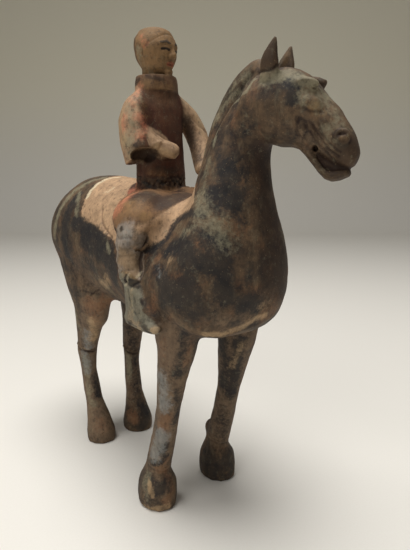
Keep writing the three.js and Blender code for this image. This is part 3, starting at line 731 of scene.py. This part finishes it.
class Photo:
    """Finds the places on the solid that the photo shows at its pixels."""

    def __init__(self):
        self.solid = surface_tree(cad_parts[NODE])
        self.look = looking(PHOTO_PITCH)
        self.right = self.look.cross(UP).normalized()
        self.above = self.right.cross(self.look)
        steps = range(-MARK_REACH, MARK_REACH + 1)
        self.around = sorted(
            ((i, j) for j in steps for i in steps), key=lambda step: (max(map(abs, step)), math.hypot(*step)))

    def place(self, column, row):
        """The place at a pixel, in whole millimetres, or at the nearest one that shows the solid."""
        for i, j in self.around:
            across = (column + i + 0.5 - PHOTO_SIZE[0] / 2) / PHOTO_FOCAL
            down = (row + j + 0.5 - PHOTO_SIZE[1] / 2) / PHOTO_FOCAL
            ray = self.look + self.right * across - self.above * down
            found = self.solid.ray_cast(Vector(PHOTO_EYE) * MM, ray.normalized())[0]
            if found:
                return tuple(round(c / MM) for c in found)
        raise ValueError(f"the photo shows no part of the figure near its pixel {column}, {row}")

    def path(self, marks):
        """The places of a row of marks, each only once in a run."""
        places = [self.place(*mark) if len(mark) == 2 else mark for mark in marks]
        return [place for place, last in zip(places, [None] + places) if place != last]


# Sizes and colours that a user would change.

def srgb(red, green, blue):
    def linear(value):
        value /= 255
        return value / 12.92 if value <= 0.04045 else ((value + 0.055) / 1.055) ** 2.4
    return (linear(red), linear(green), linear(blue), 1.0)


def length(name, description, default):
    return bpy.props.FloatProperty(name=name, description=description, default=default, min=0.0,
                                   subtype="DISTANCE", unit="LENGTH", precision=5)


def place(name, description, default):
    return bpy.props.FloatVectorProperty(name=name, description=description, default=default,
                                         subtype="TRANSLATION", unit="LENGTH")


def power(name, description, default):
    return bpy.props.FloatProperty(name=name, description=description, default=default, min=0.0, unit="POWER")


def colour(name, description, default):
    return bpy.props.FloatVectorProperty(name=name, description=description, default=default, size=4, min=0.0,
                                         max=1.0, subtype="COLOR")


class FigureShape(bpy.types.PropertyGroup):
    form_cell: length("Form cell", "Cell of the mesh that the large forms are smoothed on", 0.0015)
    clay_cell: length("Clay cell", "Cell of the fine mesh that carries the tooling", 0.00065)
    body_evening: length("Body evening", "How widely barrel, rump and neck are smoothed", 0.005)
    dent_depth: length("Dent depth", "Depth of the slow unevenness left by the hands", 0.0003)
    tooling: bpy.props.FloatProperty(name="Tooling", description="Scale of the depth of all drawn lines",
                                     default=1.0, min=0.0, max=2.0)
    triangle_limit: bpy.props.IntProperty(name="Triangle limit", default=188000, min=20000, max=199000,
                                          description="Most triangles the piece may have")


class FigurePaint(bpy.types.PropertyGroup):
    coat: colour("Coat", "The horse's worn brown-grey coat", srgb(94, 74, 54))
    coat_dark: colour("Dark coat", "Darker parts of the coat", srgb(42, 32, 26))
    cloth: colour("Saddle cloth", "Cream ground of the painted saddle cloth", srgb(184, 151, 118))
    slate: colour("Slate", "Blue-black paint", srgb(26, 26, 29))
    dust: colour("Dust", "Pale grey-green burial dust", srgb(138, 132, 108))
    rust: colour("Bare clay", "Orange-brown bare clay", srgb(124, 86, 58))
    # Buff is a real ground colour, and it also lays a painted highlight along the breast's lower edge.
    buff: colour("Buff", "Buff ground layer", srgb(176, 148, 112))
    # Blue-grey is a real paint, and it also lays a painted highlight on the horse's shoulder.
    grey: colour("Blue-grey", "Pale blue-grey paint", srgb(142, 146, 144))
    robe: colour("Robe", "Dark red-brown robe", srgb(70, 36, 20))
    sleeve: colour("Sleeve", "Buff and pink sleeve", srgb(166, 136, 106))
    trousers: colour("Trousers", "Grey-white trousers", srgb(142, 130, 118))
    boots: colour("Boots", "Blue-grey boots", srgb(118, 115, 100))
    skirt: colour("Skirt", "Brown-buff skirt of the robe", srgb(120, 88, 58))
    collar: colour("Collar", "Brown of the robe's standing collar", srgb(98, 70, 50))
    earth: colour("Earth", "Lighter brown-grey of the legs and the muzzle", srgb(114, 94, 74))
    skin: colour("Skin", "Brown-buff head and neck", srgb(126, 96, 62))
    salmon: colour("Salmon", "Salmon-red paint", srgb(206, 128, 96))
    # Umber is a real very dark brown paint, and it also lays painted shade in hollows, gaps and on sides
    # turned from the light.
    umber: colour("Umber", "Very dark brown", srgb(40, 23, 13))
    ochre: colour("Ochre", "Yellow-brown paint", srgb(136, 106, 66))
    soot: colour("Soot", "Black flecks and lines", srgb(26, 22, 20))
    red: colour("Red", "Red of the lips", srgb(150, 62, 42))
    ivory: colour("Ivory", "Pale lines and flecks of the ground", srgb(214, 200, 168))


class FigureStage(bpy.types.PropertyGroup):
    eye: place("Camera place", "Where the camera stands", [round(MM * c, 5) for c in PHOTO_EYE])
    pitch: bpy.props.FloatProperty(name="Camera pitch", description="How far the camera looks down",
                                   default=PHOTO_PITCH, subtype="ANGLE", unit="ROTATION")
    lens: bpy.props.FloatProperty(name="Lens", description="Focal length", default=33.9, unit="CAMERA")
    key_power: power("Key light", "Power of the large soft light", 24.5)
    key_size: length("Key size", "Diameter of the large soft light", 1.1)
    key_place: place("Key place", "Where the large soft light hangs", (-0.021, -0.119, 1.666))
    fill_power: power("Fill light", "Power of the weak light by the camera", 3.84)
    fill_place: place("Fill place", "Where the weak light hangs", (0.3, -0.9, 0.9))
    sky: bpy.props.FloatProperty(name="Room light", description="Strength of the even light of the room",
                                 default=0.162, min=0.0)
    sweep_length: length("Sweep length", "Length of the paper's flat part", 3.35)
    sweep_width: length("Sweep width", "Width of the paper", 6.0)
    sweep_height: length("Sweep height", "How high the paper rises", 1.8)
    sweep_curve: length("Sweep curve", "Radius of the curve between floor and rise", 0.69)


# The clay: how its skin is evened, how far drawn lines reach in half widths, the rough band round the waist,
# and the dents. Noise scales are per millimetre.
FORM_ROUNDS = 45
FASTEST_EVENING = 0.6
REGION_FADE = 8
WEIGHT_STEPS = 16
SKIN_ROUNDS = 5
LINE_REACH = 2.2
BAND_AXIS = (-4, -1)
BAND_HEIGHT = 217
BAND_HALF_WIDTH = 4.5
BAND_RADII = (21, 24)
BAND_DEPTH = 2.2
BAND_ROUGHNESS = 0.45
WIDE_DENTS = 0.075
SMALL_DENTS = 0.21


class FIGURE_OT_form(bpy.types.Operator):
    """Copies the solid, remeshes it coarsely and evens out its facets without thinning it"""
    bl_idname = "figure.form"
    bl_label = "Smooth the large forms"

    def execute(self, context):
        shape = context.scene.figure_shape
        obj = copy_solid(FORM)
        join_lumps(obj, LAP_LUMPS)
        apply_modifier(obj, "Cells", "REMESH", mode="VOXEL", voxel_size=shape.form_cell)
        points, edges = points_of(obj), edges_of(obj)
        width = np.full(len(points), shape.body_evening / MM)
        for wanted, radius, *path in SMOOTHED:
            near = fade(path_distance(points, path)[0], radius, radius + REGION_FADE)
            width = np.minimum(width, width + near * (wanted - width))
        rate = width ** 2 * 2 / (FORM_ROUNDS * (shape.form_cell / MM) ** 2)
        put_points(obj, smoothed(points, edges, np.clip(rate, 0, FASTEST_EVENING), FORM_ROUNDS))
        return {"FINISHED"}


class FIGURE_OT_clay(bpy.types.Operator):
    """Lays the features of both heads on the solid and fuses all of it into one fine skin"""
    bl_idname = "figure.clay"
    bl_label = "Fuse the clay"

    def execute(self, context):
        shape = context.scene.figure_shape
        obj = copy_solid(PIECE)
        join_lumps(obj, LAP_LUMPS + FACE_LUMPS + HORSE_LUMPS)
        obj.data.materials.clear()
        apply_modifier(obj, "Fused", "REMESH", mode="VOXEL", voxel_size=shape.clay_cell)
        points = points_of(obj)
        kept = np.zeros(len(points))
        for radius, *path in KEPT_SHARP:
            kept = np.maximum(kept, fade(path_distance(points, path)[0], radius - 1.5, radius + 2))
        group = obj.vertex_groups.new(name="large_forms")
        for level in range(1, WEIGHT_STEPS + 1):
            chosen = np.nonzero(np.round((1 - kept) * WEIGHT_STEPS) == level)[0]
            if len(chosen):
                group.add(chosen.tolist(), level / WEIGHT_STEPS, "REPLACE")
        form = bpy.data.objects[FORM]
        apply_modifier(obj, "Large forms", "SHRINKWRAP", target=form, vertex_group="large_forms",
                       wrap_method="NEAREST_SURFACEPOINT", wrap_mode="ON_SURFACE")
        bpy.data.objects.remove(form)
        points, edges = points_of(obj), edges_of(obj)
        put_points(obj, smoothed(points, edges, 0.25 + 0.25 * (1 - kept), SKIN_ROUNDS))
        return {"FINISHED"}


class FIGURE_OT_tooling(bpy.types.Operator):
    """Draws grooves, folds and wrinkles in the clay, dents it, and thins the mesh"""
    bl_idname = "figure.tooling"
    bl_label = "Tool the clay"

    def execute(self, context):
        shape = context.scene.figure_shape
        obj = bpy.data.objects[PIECE]
        points, normals = points_of(obj), normals_of(obj)
        tree = surface_tree(obj)
        offset = np.zeros(len(points))
        for depth, half_width, *path in TOOLED:
            line = on_surface(tree, path)
            near = within(points, line, LINE_REACH * half_width)
            distance = path_distance(points[near], line)[0]
            offset[near] += depth * shape.tooling * np.exp(-(distance / half_width) ** 2)
        out = np.hypot(points[:, 0] - BAND_AXIS[0], points[:, 1] - BAND_AXIS[1])
        band = np.exp(-((points[:, 2] - BAND_HEIGHT) / BAND_HALF_WIDTH) ** 2) * fade(out, *BAND_RADII)
        for i in np.nonzero(band > 0.05)[0]:
            rough = noise.noise(Vector(points[i]) * BAND_ROUGHNESS)
            offset[i] -= BAND_DEPTH * band[i] * max(0.0, rough + 0.1)
        slow = np.array([
            noise.noise(Vector(p) * WIDE_DENTS) + 0.5 * noise.noise(Vector(p) * SMALL_DENTS) for p in points])
        put_points(obj, points + normals * (offset + shape.dent_depth / MM * slow)[:, None])
        count = sum(len(face.vertices) - 2 for face in obj.data.polygons)
        if count > shape.triangle_limit:
            apply_modifier(obj, "Thinned", "DECIMATE", ratio=shape.triangle_limit / count)
        only(obj)
        bpy.ops.object.shade_smooth()
        return {"FINISHED"}


# The paint. A stroke's reach and its full part are in half widths, and it is broad past BROAD_STROKE. The
# fades and the limits of the cloth on the left are in millimetres.
STROKE_REACH = 1.9
BROAD_STROKE = 2.5
BROAD_FULL = 0.15
NARROW_FULL = 0.7
STROKE_STEP = 2.5
DRESS_FADE = (-1.4, 2.2)
CLOTH_FADE = (0.8, -0.8)
CLOTH_LEFT = 8
CLOTH_LEFT_FRONT = 54
BEND_ROUNDS = 6


def laid_stroke(mask, points, tree, path, half_width, strength, allowed):
    """Adds a soft-edged stroke along its path on the surface, only as far as each point allows."""
    reach = STROKE_REACH * half_width
    line = on_surface(tree, path, STROKE_STEP)
    near = within(points, line, reach)
    distance = path_distance(points[near], line)[0]
    full = (BROAD_FULL if half_width > BROAD_STROKE else NARROW_FULL) * half_width
    mask[near] = np.maximum(mask[near], strength * allowed[near] * fade(distance, full, reach))


def part_mask(points, path):
    distance, segment, fraction = path_distance(points, path)
    radii = np.array([p[3] for p in path], float)
    radius = radii[segment] + fraction * (radii[np.minimum(segment + 1, len(path) - 1)] - radii[segment])
    return fade(distance - radius, *DRESS_FADE)


def cloth_mask(points):
    """Inside the saddle cloth's edge, judged on length and height; its left front ends straight."""
    x, z = points[:, 0], points[:, 2]
    inside = np.zeros(len(points), bool)
    corners = list(CLOTH_EDGE)
    for (x0, z0), (x1, z1) in zip(corners, corners[1:] + corners[:1]):
        crosses = (z0 > z) != (z1 > z)
        with np.errstate(divide="ignore", invalid="ignore"):
            at_x = x0 + (z - z0) * (x1 - x0) / (z1 - z0 if z1 != z0 else 1e-9)
        inside ^= crosses & (x < at_x)
    inside &= (points[:, 1] < CLOTH_LEFT) | (x < CLOTH_LEFT_FRONT)
    flat = np.stack([x, np.zeros(len(x)), z], axis=1)
    edge = path_distance(flat, [(a, 0, b) for a, b in corners + corners[:1]])[0]
    return fade(np.where(inside, edge, -edge), *CLOTH_FADE)


def add_attribute(obj, name, values):
    layer = obj.data.attributes.new(name, "FLOAT", "POINT")
    layer.data.foreach_set("value", np.clip(values, 0, 1).astype(np.float32))


class FIGURE_OT_masks(bpy.types.Operator):
    """Lays out where each pigment, the dust, the bare clay and the painted shade and highlights lie, as
    attributes of the skin
    """
    bl_idname = "figure.masks"
    bl_label = "Lay out the paint"

    def execute(self, context):
        obj = bpy.data.objects[PIECE]
        points, edges = points_of(obj), edges_of(obj)
        tree = surface_tree(obj)
        photo = Photo()
        masks = {coat[0]: np.zeros(len(points)) for coat in COATS}

        def lay(strokes, allowed):
            for pigment, half_width, strength, *marks in strokes:
                laid_stroke(masks[pigment], points, tree, photo.path(marks), half_width, strength, allowed)

        masks["cloth"] = cloth_mask(points)
        lay(PAINTED, np.ones(len(points)))
        covered = np.zeros(len(points))
        for pigment, *path in DRESSED:
            part = part_mask(points, path)
            for other in masks:
                if other != pigment:
                    masks[other] = masks[other] * (1 - part)
            masks[pigment] = np.maximum(masks[pigment], part)
            covered = np.maximum(covered, part)
        lay(RIDER_PAINTED + FACE_PAINTED, covered)
        for name, values in masks.items():
            add_attribute(obj, name, values)
        rate = np.full(len(points), 0.5)
        broad = evened(points, edges, rate, BEND_ROUNDS)
        bend = np.sum((points - broad) * normals_of(obj), axis=1)
        bend = evened(bend[:, None], edges, rate, 1)[:, 0]
        # Painted shade: how deep each point lies in a hollow or crease, which the paint darkens.
        add_attribute(obj, "hollow", -bend / 0.35)
        add_attribute(obj, "ridge", np.where(bend > 0.6, 0, bend / 0.5))
        return {"FINISHED"}


class Shader:
    """Adds nodes to a material or a group and links them."""

    def __init__(self, tree):
        self.tree = tree

    def node(self, kind, **values):
        made = self.tree.nodes.new(kind)
        for key, value in values.items():
            if key in made.inputs:
                made.inputs[key].default_value = value
            else:
                setattr(made, key, value)
        return made

    def link(self, source, target):
        self.tree.links.new(source, target)

    def math(self, operation, first, second=None, clamp=False):
        made = self.tree.nodes.new("ShaderNodeMath")
        made.operation = operation
        made.use_clamp = clamp
        for socket, value in zip(made.inputs, (first, second)):
            if value is None:
                continue
            if isinstance(value, (int, float)):
                socket.default_value = value
            else:
                self.link(value, socket)
        return made.outputs[0]

    def mix(self, factor, under, over):
        made = self.tree.nodes.new("ShaderNodeMix")
        made.data_type = "RGBA"
        for socket, value in ((made.inputs[0], factor), (made.inputs[6], under), (made.inputs[7], over)):
            if isinstance(value, (int, float, tuple)):
                socket.default_value = value
            else:
                self.link(value, socket)
        return made.outputs[2]

    def ramp(self, value, low, high):
        made = self.tree.nodes.new("ShaderNodeMapRange")
        made.interpolation_type = "SMOOTHSTEP"
        made.inputs["From Min"].default_value = low
        made.inputs["From Max"].default_value = high
        self.link(value, made.inputs["Value"])
        return made.outputs[0]

    def noise(self, vector, scale, detail=3.0, seed=0.0, roughness=0.55):
        made = self.tree.nodes.new("ShaderNodeTexNoise")
        made.noise_dimensions = "4D"
        made.inputs["Scale"].default_value = scale
        made.inputs["Detail"].default_value = detail
        made.inputs["Roughness"].default_value = roughness
        if isinstance(seed, (int, float)):
            made.inputs["W"].default_value = seed
        else:
            self.link(seed, made.inputs["W"])
        self.link(vector, made.inputs["Vector"])
        return made.outputs[0]


def worn_layer_group():
    """A coat of paint over another colour, eaten away at its edges and rubbed through in places."""
    group = bpy.data.node_groups.new("Worn layer", "ShaderNodeTree")
    for name, kind in (("Under", "Color"), ("Paint", "Color"), ("Mask", "Float"), ("Vector", "Vector"),
                       ("Seed", "Float"), ("Wear", "Float"), ("Opacity", "Float")):
        group.interface.new_socket(name, in_out="INPUT", socket_type="NodeSocket" + kind)
    for name, kind in (("Colour", "Color"), ("Cover", "Float")):
        group.interface.new_socket(name, in_out="OUTPUT", socket_type="NodeSocket" + kind)
    shader = Shader(group)
    given = shader.node("NodeGroupInput").outputs
    result = shader.node("NodeGroupOutput")
    blots = shader.noise(given["Vector"], 95.0, 8.0, given["Seed"], 0.72)
    flecks = shader.noise(given["Vector"], 480.0, 4.0, given["Seed"], 0.65)
    broken = shader.math("ADD", shader.math("MULTIPLY", shader.math("SUBTRACT", blots, 0.5), 1.9),
                         shader.math("MULTIPLY", shader.math("SUBTRACT", flecks, 0.5), 1.6))
    worn = shader.math("MULTIPLY", broken, given["Wear"])
    edge = shader.ramp(shader.math("ADD", given["Mask"], worn), 0.18, 0.88)
    present = shader.ramp(given["Mask"], 0.0, 0.15)
    cover = shader.math("MULTIPLY", shader.math("MULTIPLY", edge, present), given["Opacity"])
    shader.link(shader.mix(cover, given["Under"], given["Paint"]), result.inputs["Colour"])
    shader.link(cover, result.inputs["Cover"])
    return group


class FIGURE_OT_paint(bpy.types.Operator):
    """Gives the skin its layers of worn paint, dust and bare clay, with painted shade and painted highlights
    """
    bl_idname = "figure.paint"
    bl_label = "Paint the figure"

    def execute(self, context):
        paint = context.scene.figure_paint
        obj = bpy.data.objects[PIECE]
        material = bpy.data.materials.new("painted_low_fired_clay")
        material.use_nodes = True
        shader = Shader(material.node_tree)
        surface = material.node_tree.nodes["Principled BSDF"]
        place = shader.node("ShaderNodeTexCoord").outputs["Object"]
        stretched = shader.node("ShaderNodeMapping", Scale=(1.0, 1.0, 0.3))
        shader.link(place, stretched.inputs["Vector"])

        def mask(name):
            return shader.node("ShaderNodeAttribute", attribute_name=name).outputs["Fac"]

        def tinted(under, pattern, low, high, amount, over):
            """The colour under, with another over it where a pattern goes from low to high."""
            factor = shader.math("MULTIPLY", shader.ramp(pattern, low, high), amount)
            return shader.mix(factor, under, tuple(over))

        blots = shader.noise(place, 55.0, 8.0, 5.0, 0.68)
        streaks = shader.noise(stretched.outputs[0], 170.0, 6.0, 6.0, 0.66)
        warm = shader.noise(place, 85.0, 6.0, 8.0, 0.66)
        dark = shader.noise(place, 75.0, 8.0, 9.0, 0.7)
        shown = shader.mix(shader.ramp(blots, 0.38, 0.6), tuple(paint.coat_dark), tuple(paint.coat))
        shown = tinted(shown, warm, 0.52, 0.66, 0.4, paint.rust)
        shown = tinted(shown, dark, 0.5, 0.62, 0.6, paint.slate)
        shown = tinted(shown, streaks, 0.5, 0.7, 0.2, paint.dust)
        group = worn_layer_group()
        covers = {}
        for name, seed, wear, opacity in COATS:
            layer = shader.node("ShaderNodeGroup", node_tree=group)
            shader.link(shown, layer.inputs["Under"])
            shader.link(mask(name), layer.inputs["Mask"])
            shader.link(place, layer.inputs["Vector"])
            for socket, value in (("Paint", tuple(getattr(paint, name))), ("Seed", seed), ("Wear", wear),
                                  ("Opacity", opacity)):
                layer.inputs[socket].default_value = value
            shown, covers[name] = layer.outputs["Colour"], layer.outputs["Cover"]
        mottle = shader.noise(place, 130.0, 6.0, 80.0, 0.68)
        grain = shader.noise(stretched.outputs[0], 520.0, 4.0, 83.0, 0.62)
        shade = shader.node("ShaderNodeHueSaturation")
        shader.link(shown, shade.inputs["Color"])
        uneven = shader.math("ADD", shader.math("MULTIPLY", mottle, 1.3), shader.math("MULTIPLY", grain, 1.0))
        shader.link(shader.math("SUBTRACT", uneven, 0.15), shade.inputs["Value"])
        shown = shade.outputs[0]
        # Painted shade: very dark brown laid into the hollows and creases of the clay.
        shown = shader.mix(shader.math("MULTIPLY", mask("hollow"), 0.75, True), shown, tuple(paint.umber))
        shown = shader.mix(shader.math("MULTIPLY", mask("ridge"), 0.22, True), shown, tuple(paint.buff))
        fine = shader.noise(place, 290.0, 6.0, 87.0, 0.7)
        chalky = shader.noise(place, 260.0, 6.0, 89.0, 0.7)
        specks = shader.noise(place, 1100.0, 2.0, 90.0, 0.5)
        shown = tinted(shown, fine, 0.52, 0.66, 0.5, paint.coat_dark)
        shown = tinted(shown, chalky, 0.55, 0.7, 0.3, paint.dust)
        shown = tinted(shown, specks, 0.66, 0.72, 0.45, paint.umber)
        shown = tinted(shown, specks, 0.34, 0.28, 0.3, paint.buff)
        shader.link(shown, surface.inputs["Base Color"])
        roughness = shader.math("ADD", shader.math("MULTIPLY", mottle, 0.3), 0.58, True)
        shader.link(roughness, surface.inputs["Roughness"])
        surface.inputs["Specular IOR Level"].default_value = 0.35
        pores = shader.noise(place, 900.0, 4.0, 95.0, 0.6)
        brushed = shader.noise(stretched.outputs[0], 420.0, 3.0, 97.0, 0.6)
        brushed = shader.math("MULTIPLY", brushed, 0.5)
        relief = shader.math("ADD", shader.math("MULTIPLY", pores, 0.6), brushed)
        relief = shader.math("ADD", relief, shader.math("MULTIPLY", covers["slate"], 0.12))
        bump = shader.node("ShaderNodeBump", Strength=0.55, Distance=0.0006)
        shader.link(relief, bump.inputs["Height"])
        shader.link(bump.outputs[0], surface.inputs["Normal"])
        obj.data.materials.clear()
        obj.data.materials.append(material)
        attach(obj, "root")
        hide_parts(NODE)
        return {"FINISHED"}


# The stage: how far the paper reaches to the front, past where its points belong to the back edge, the
# lights' targets, the fill light's size, and the camera's sensor.
SWEEP_FRONT = 0.8
BACK_EDGE = 0.5
KEY_TARGET = (0.0, 0.0, 0.1)
FILL_TARGET = (0.0, 0.0, 0.15)
FILL_SIZE = 0.8
SENSOR = 36.0


class FIGURE_OT_stage(bpy.types.Operator):
    """Sets up the pale sweep, the soft light and the camera"""
    bl_idname = "figure.stage"
    bl_label = "Set the stage"

    def execute(self, context):
        stage = context.scene.figure_stage
        self.sweep(stage)
        self.light(stage)
        self.camera(stage)
        return {"FINISHED"}

    def sweep(self, stage):
        """A paper sweep: flat under the figure, then rising in a wide curve behind it."""
        bpy.ops.object.select_all(action="DESELECT")
        bpy.ops.mesh.primitive_plane_add(size=1.0, location=(0.0, 0.0, 0.0))
        floor = bpy.context.object
        floor.name = "pale_sweep"
        only(floor)
        bpy.ops.object.mode_set(mode="EDIT")
        bpy.ops.mesh.select_all(action="SELECT")
        bpy.ops.transform.resize(value=(stage.sweep_length, stage.sweep_width, 1.0))
        bpy.ops.transform.translate(value=(0.5 * stage.sweep_length - SWEEP_FRONT, 0.0, 0.0))
        bpy.ops.mesh.select_all(action="DESELECT")
        bpy.ops.object.mode_set(mode="OBJECT")
        for edge in floor.data.edges:
            ends = [floor.data.vertices[i].co.x for i in edge.vertices]
            edge.select = min(ends) > BACK_EDGE
        for vertex in floor.data.vertices:
            vertex.select = vertex.co.x > BACK_EDGE
        bpy.ops.object.mode_set(mode="EDIT")
        bpy.ops.mesh.extrude_edges_move(TRANSFORM_OT_translate={"value": (0.0, 0.0, stage.sweep_height)})
        bpy.ops.mesh.select_all(action="SELECT")
        bpy.ops.mesh.normals_make_consistent(inside=False)
        bpy.ops.object.mode_set(mode="OBJECT")
        floor.rotation_euler.z = math.atan2(PHOTO_HEADING[1], PHOTO_HEADING[0])
        bpy.ops.object.transform_apply(location=False, rotation=True, scale=False)
        apply_modifier(floor, "Curve", "BEVEL", width=stage.sweep_curve, segments=32, limit_method="ANGLE",
                       affect="EDGES")
        only(floor)
        bpy.ops.object.shade_smooth()
        paper = bpy.data.materials.new("pale_paper")
        paper.use_nodes = True
        shader = Shader(paper.node_tree)
        surface = paper.node_tree.nodes["Principled BSDF"]
        place = shader.node("ShaderNodeTexCoord").outputs["Object"]
        fibres = shader.noise(place, 700.0, 2.0, 1.0)
        paper_colour = shader.mix(fibres, srgb(232, 229, 222), srgb(238, 236, 230))
        # Painted light: the paper turns yellower towards the top, a painted tint of the light that falls on
        # its rise.
        height = shader.node("ShaderNodeSeparateXYZ")
        shader.link(place, height.inputs[0])
        upper_light_tint = shader.ramp(height.outputs["Z"], 0.0, 0.9)
        shader.link(shader.mix(upper_light_tint, paper_colour, srgb(234, 229, 210)), surface.inputs["Base Color"])
        surface.inputs["Roughness"].default_value = 0.9
        floor.data.materials.append(paper)

    def light(self, stage):
        world = bpy.data.worlds.new("Studio")
        bpy.context.scene.world = world
        world.use_nodes = True
        background = world.node_tree.nodes["Background"]
        background.inputs["Color"].default_value = (1.0, 0.96, 0.9, 1.0)
        background.inputs["Strength"].default_value = stage.sky
        for name, power, size, place, target in (
                ("Key", stage.key_power, stage.key_size, stage.key_place, KEY_TARGET),
                ("Fill", stage.fill_power, FILL_SIZE, stage.fill_place, FILL_TARGET)):
            data = bpy.data.lights.new(name, "AREA")
            data.energy = power
            data.shape = "DISK"
            data.size = size
            data.color = (1.0, 0.98, 0.95)
            lamp = bpy.data.objects.new(name, data)
            bpy.context.collection.objects.link(lamp)
            lamp.location = place
            lamp.rotation_euler = (Vector(target) - Vector(place)).to_track_quat("-Z", "Y").to_euler()

    def camera(self, stage):
        data = bpy.data.cameras.new("Camera")
        data.lens = stage.lens
        data.sensor_width = SENSOR
        data.clip_start = 0.01
        camera = bpy.data.objects.new("Camera", data)
        bpy.context.collection.objects.link(camera)
        camera.location = stage.eye
        camera.rotation_euler = looking(stage.pitch).to_track_quat("-Z", "Y").to_euler()
        bpy.context.scene.camera = camera
        bpy.context.scene.view_settings.view_transform = "Standard"


class FIGURE_PT_panel(bpy.types.Panel):
    """Lists the steps of the build, with the sizes and colours they use"""
    bl_idname = "FIGURE_PT_panel"
    bl_label = "Horse and rider"
    bl_space_type = "VIEW_3D"
    bl_region_type = "UI"
    bl_category = "Figure"

    def draw(self, context):
        for operator in STEPS:
            self.layout.operator(operator.bl_idname, text=operator.bl_label)
        for group in (context.scene.figure_shape, context.scene.figure_paint, context.scene.figure_stage):
            box = self.layout.box()
            for name in group.__annotations__:
                box.prop(group, name)


STEPS = (FIGURE_OT_form, FIGURE_OT_clay, FIGURE_OT_tooling, FIGURE_OT_masks, FIGURE_OT_paint, FIGURE_OT_stage)
GROUPS = {"figure_shape": FigureShape, "figure_paint": FigurePaint, "figure_stage": FigureStage}


def register():
    for cls in tuple(GROUPS.values()) + STEPS + (FIGURE_PT_panel,):
        bpy.utils.register_class(cls)
    for name, group in GROUPS.items():
        setattr(bpy.types.Scene, name, bpy.props.PointerProperty(type=group))


def unregister():
    for name in GROUPS:
        delattr(bpy.types.Scene, name)
    for cls in reversed(tuple(GROUPS.values()) + STEPS + (FIGURE_PT_panel,)):
        bpy.utils.unregister_class(cls)


def main():
    register()
    bpy.ops.figure.form()
    bpy.ops.figure.clay()
    bpy.ops.figure.tooling()
    bpy.ops.figure.masks()
    bpy.ops.figure.paint()
    bpy.ops.figure.stage()


if __name__ == "__main__":
    main()
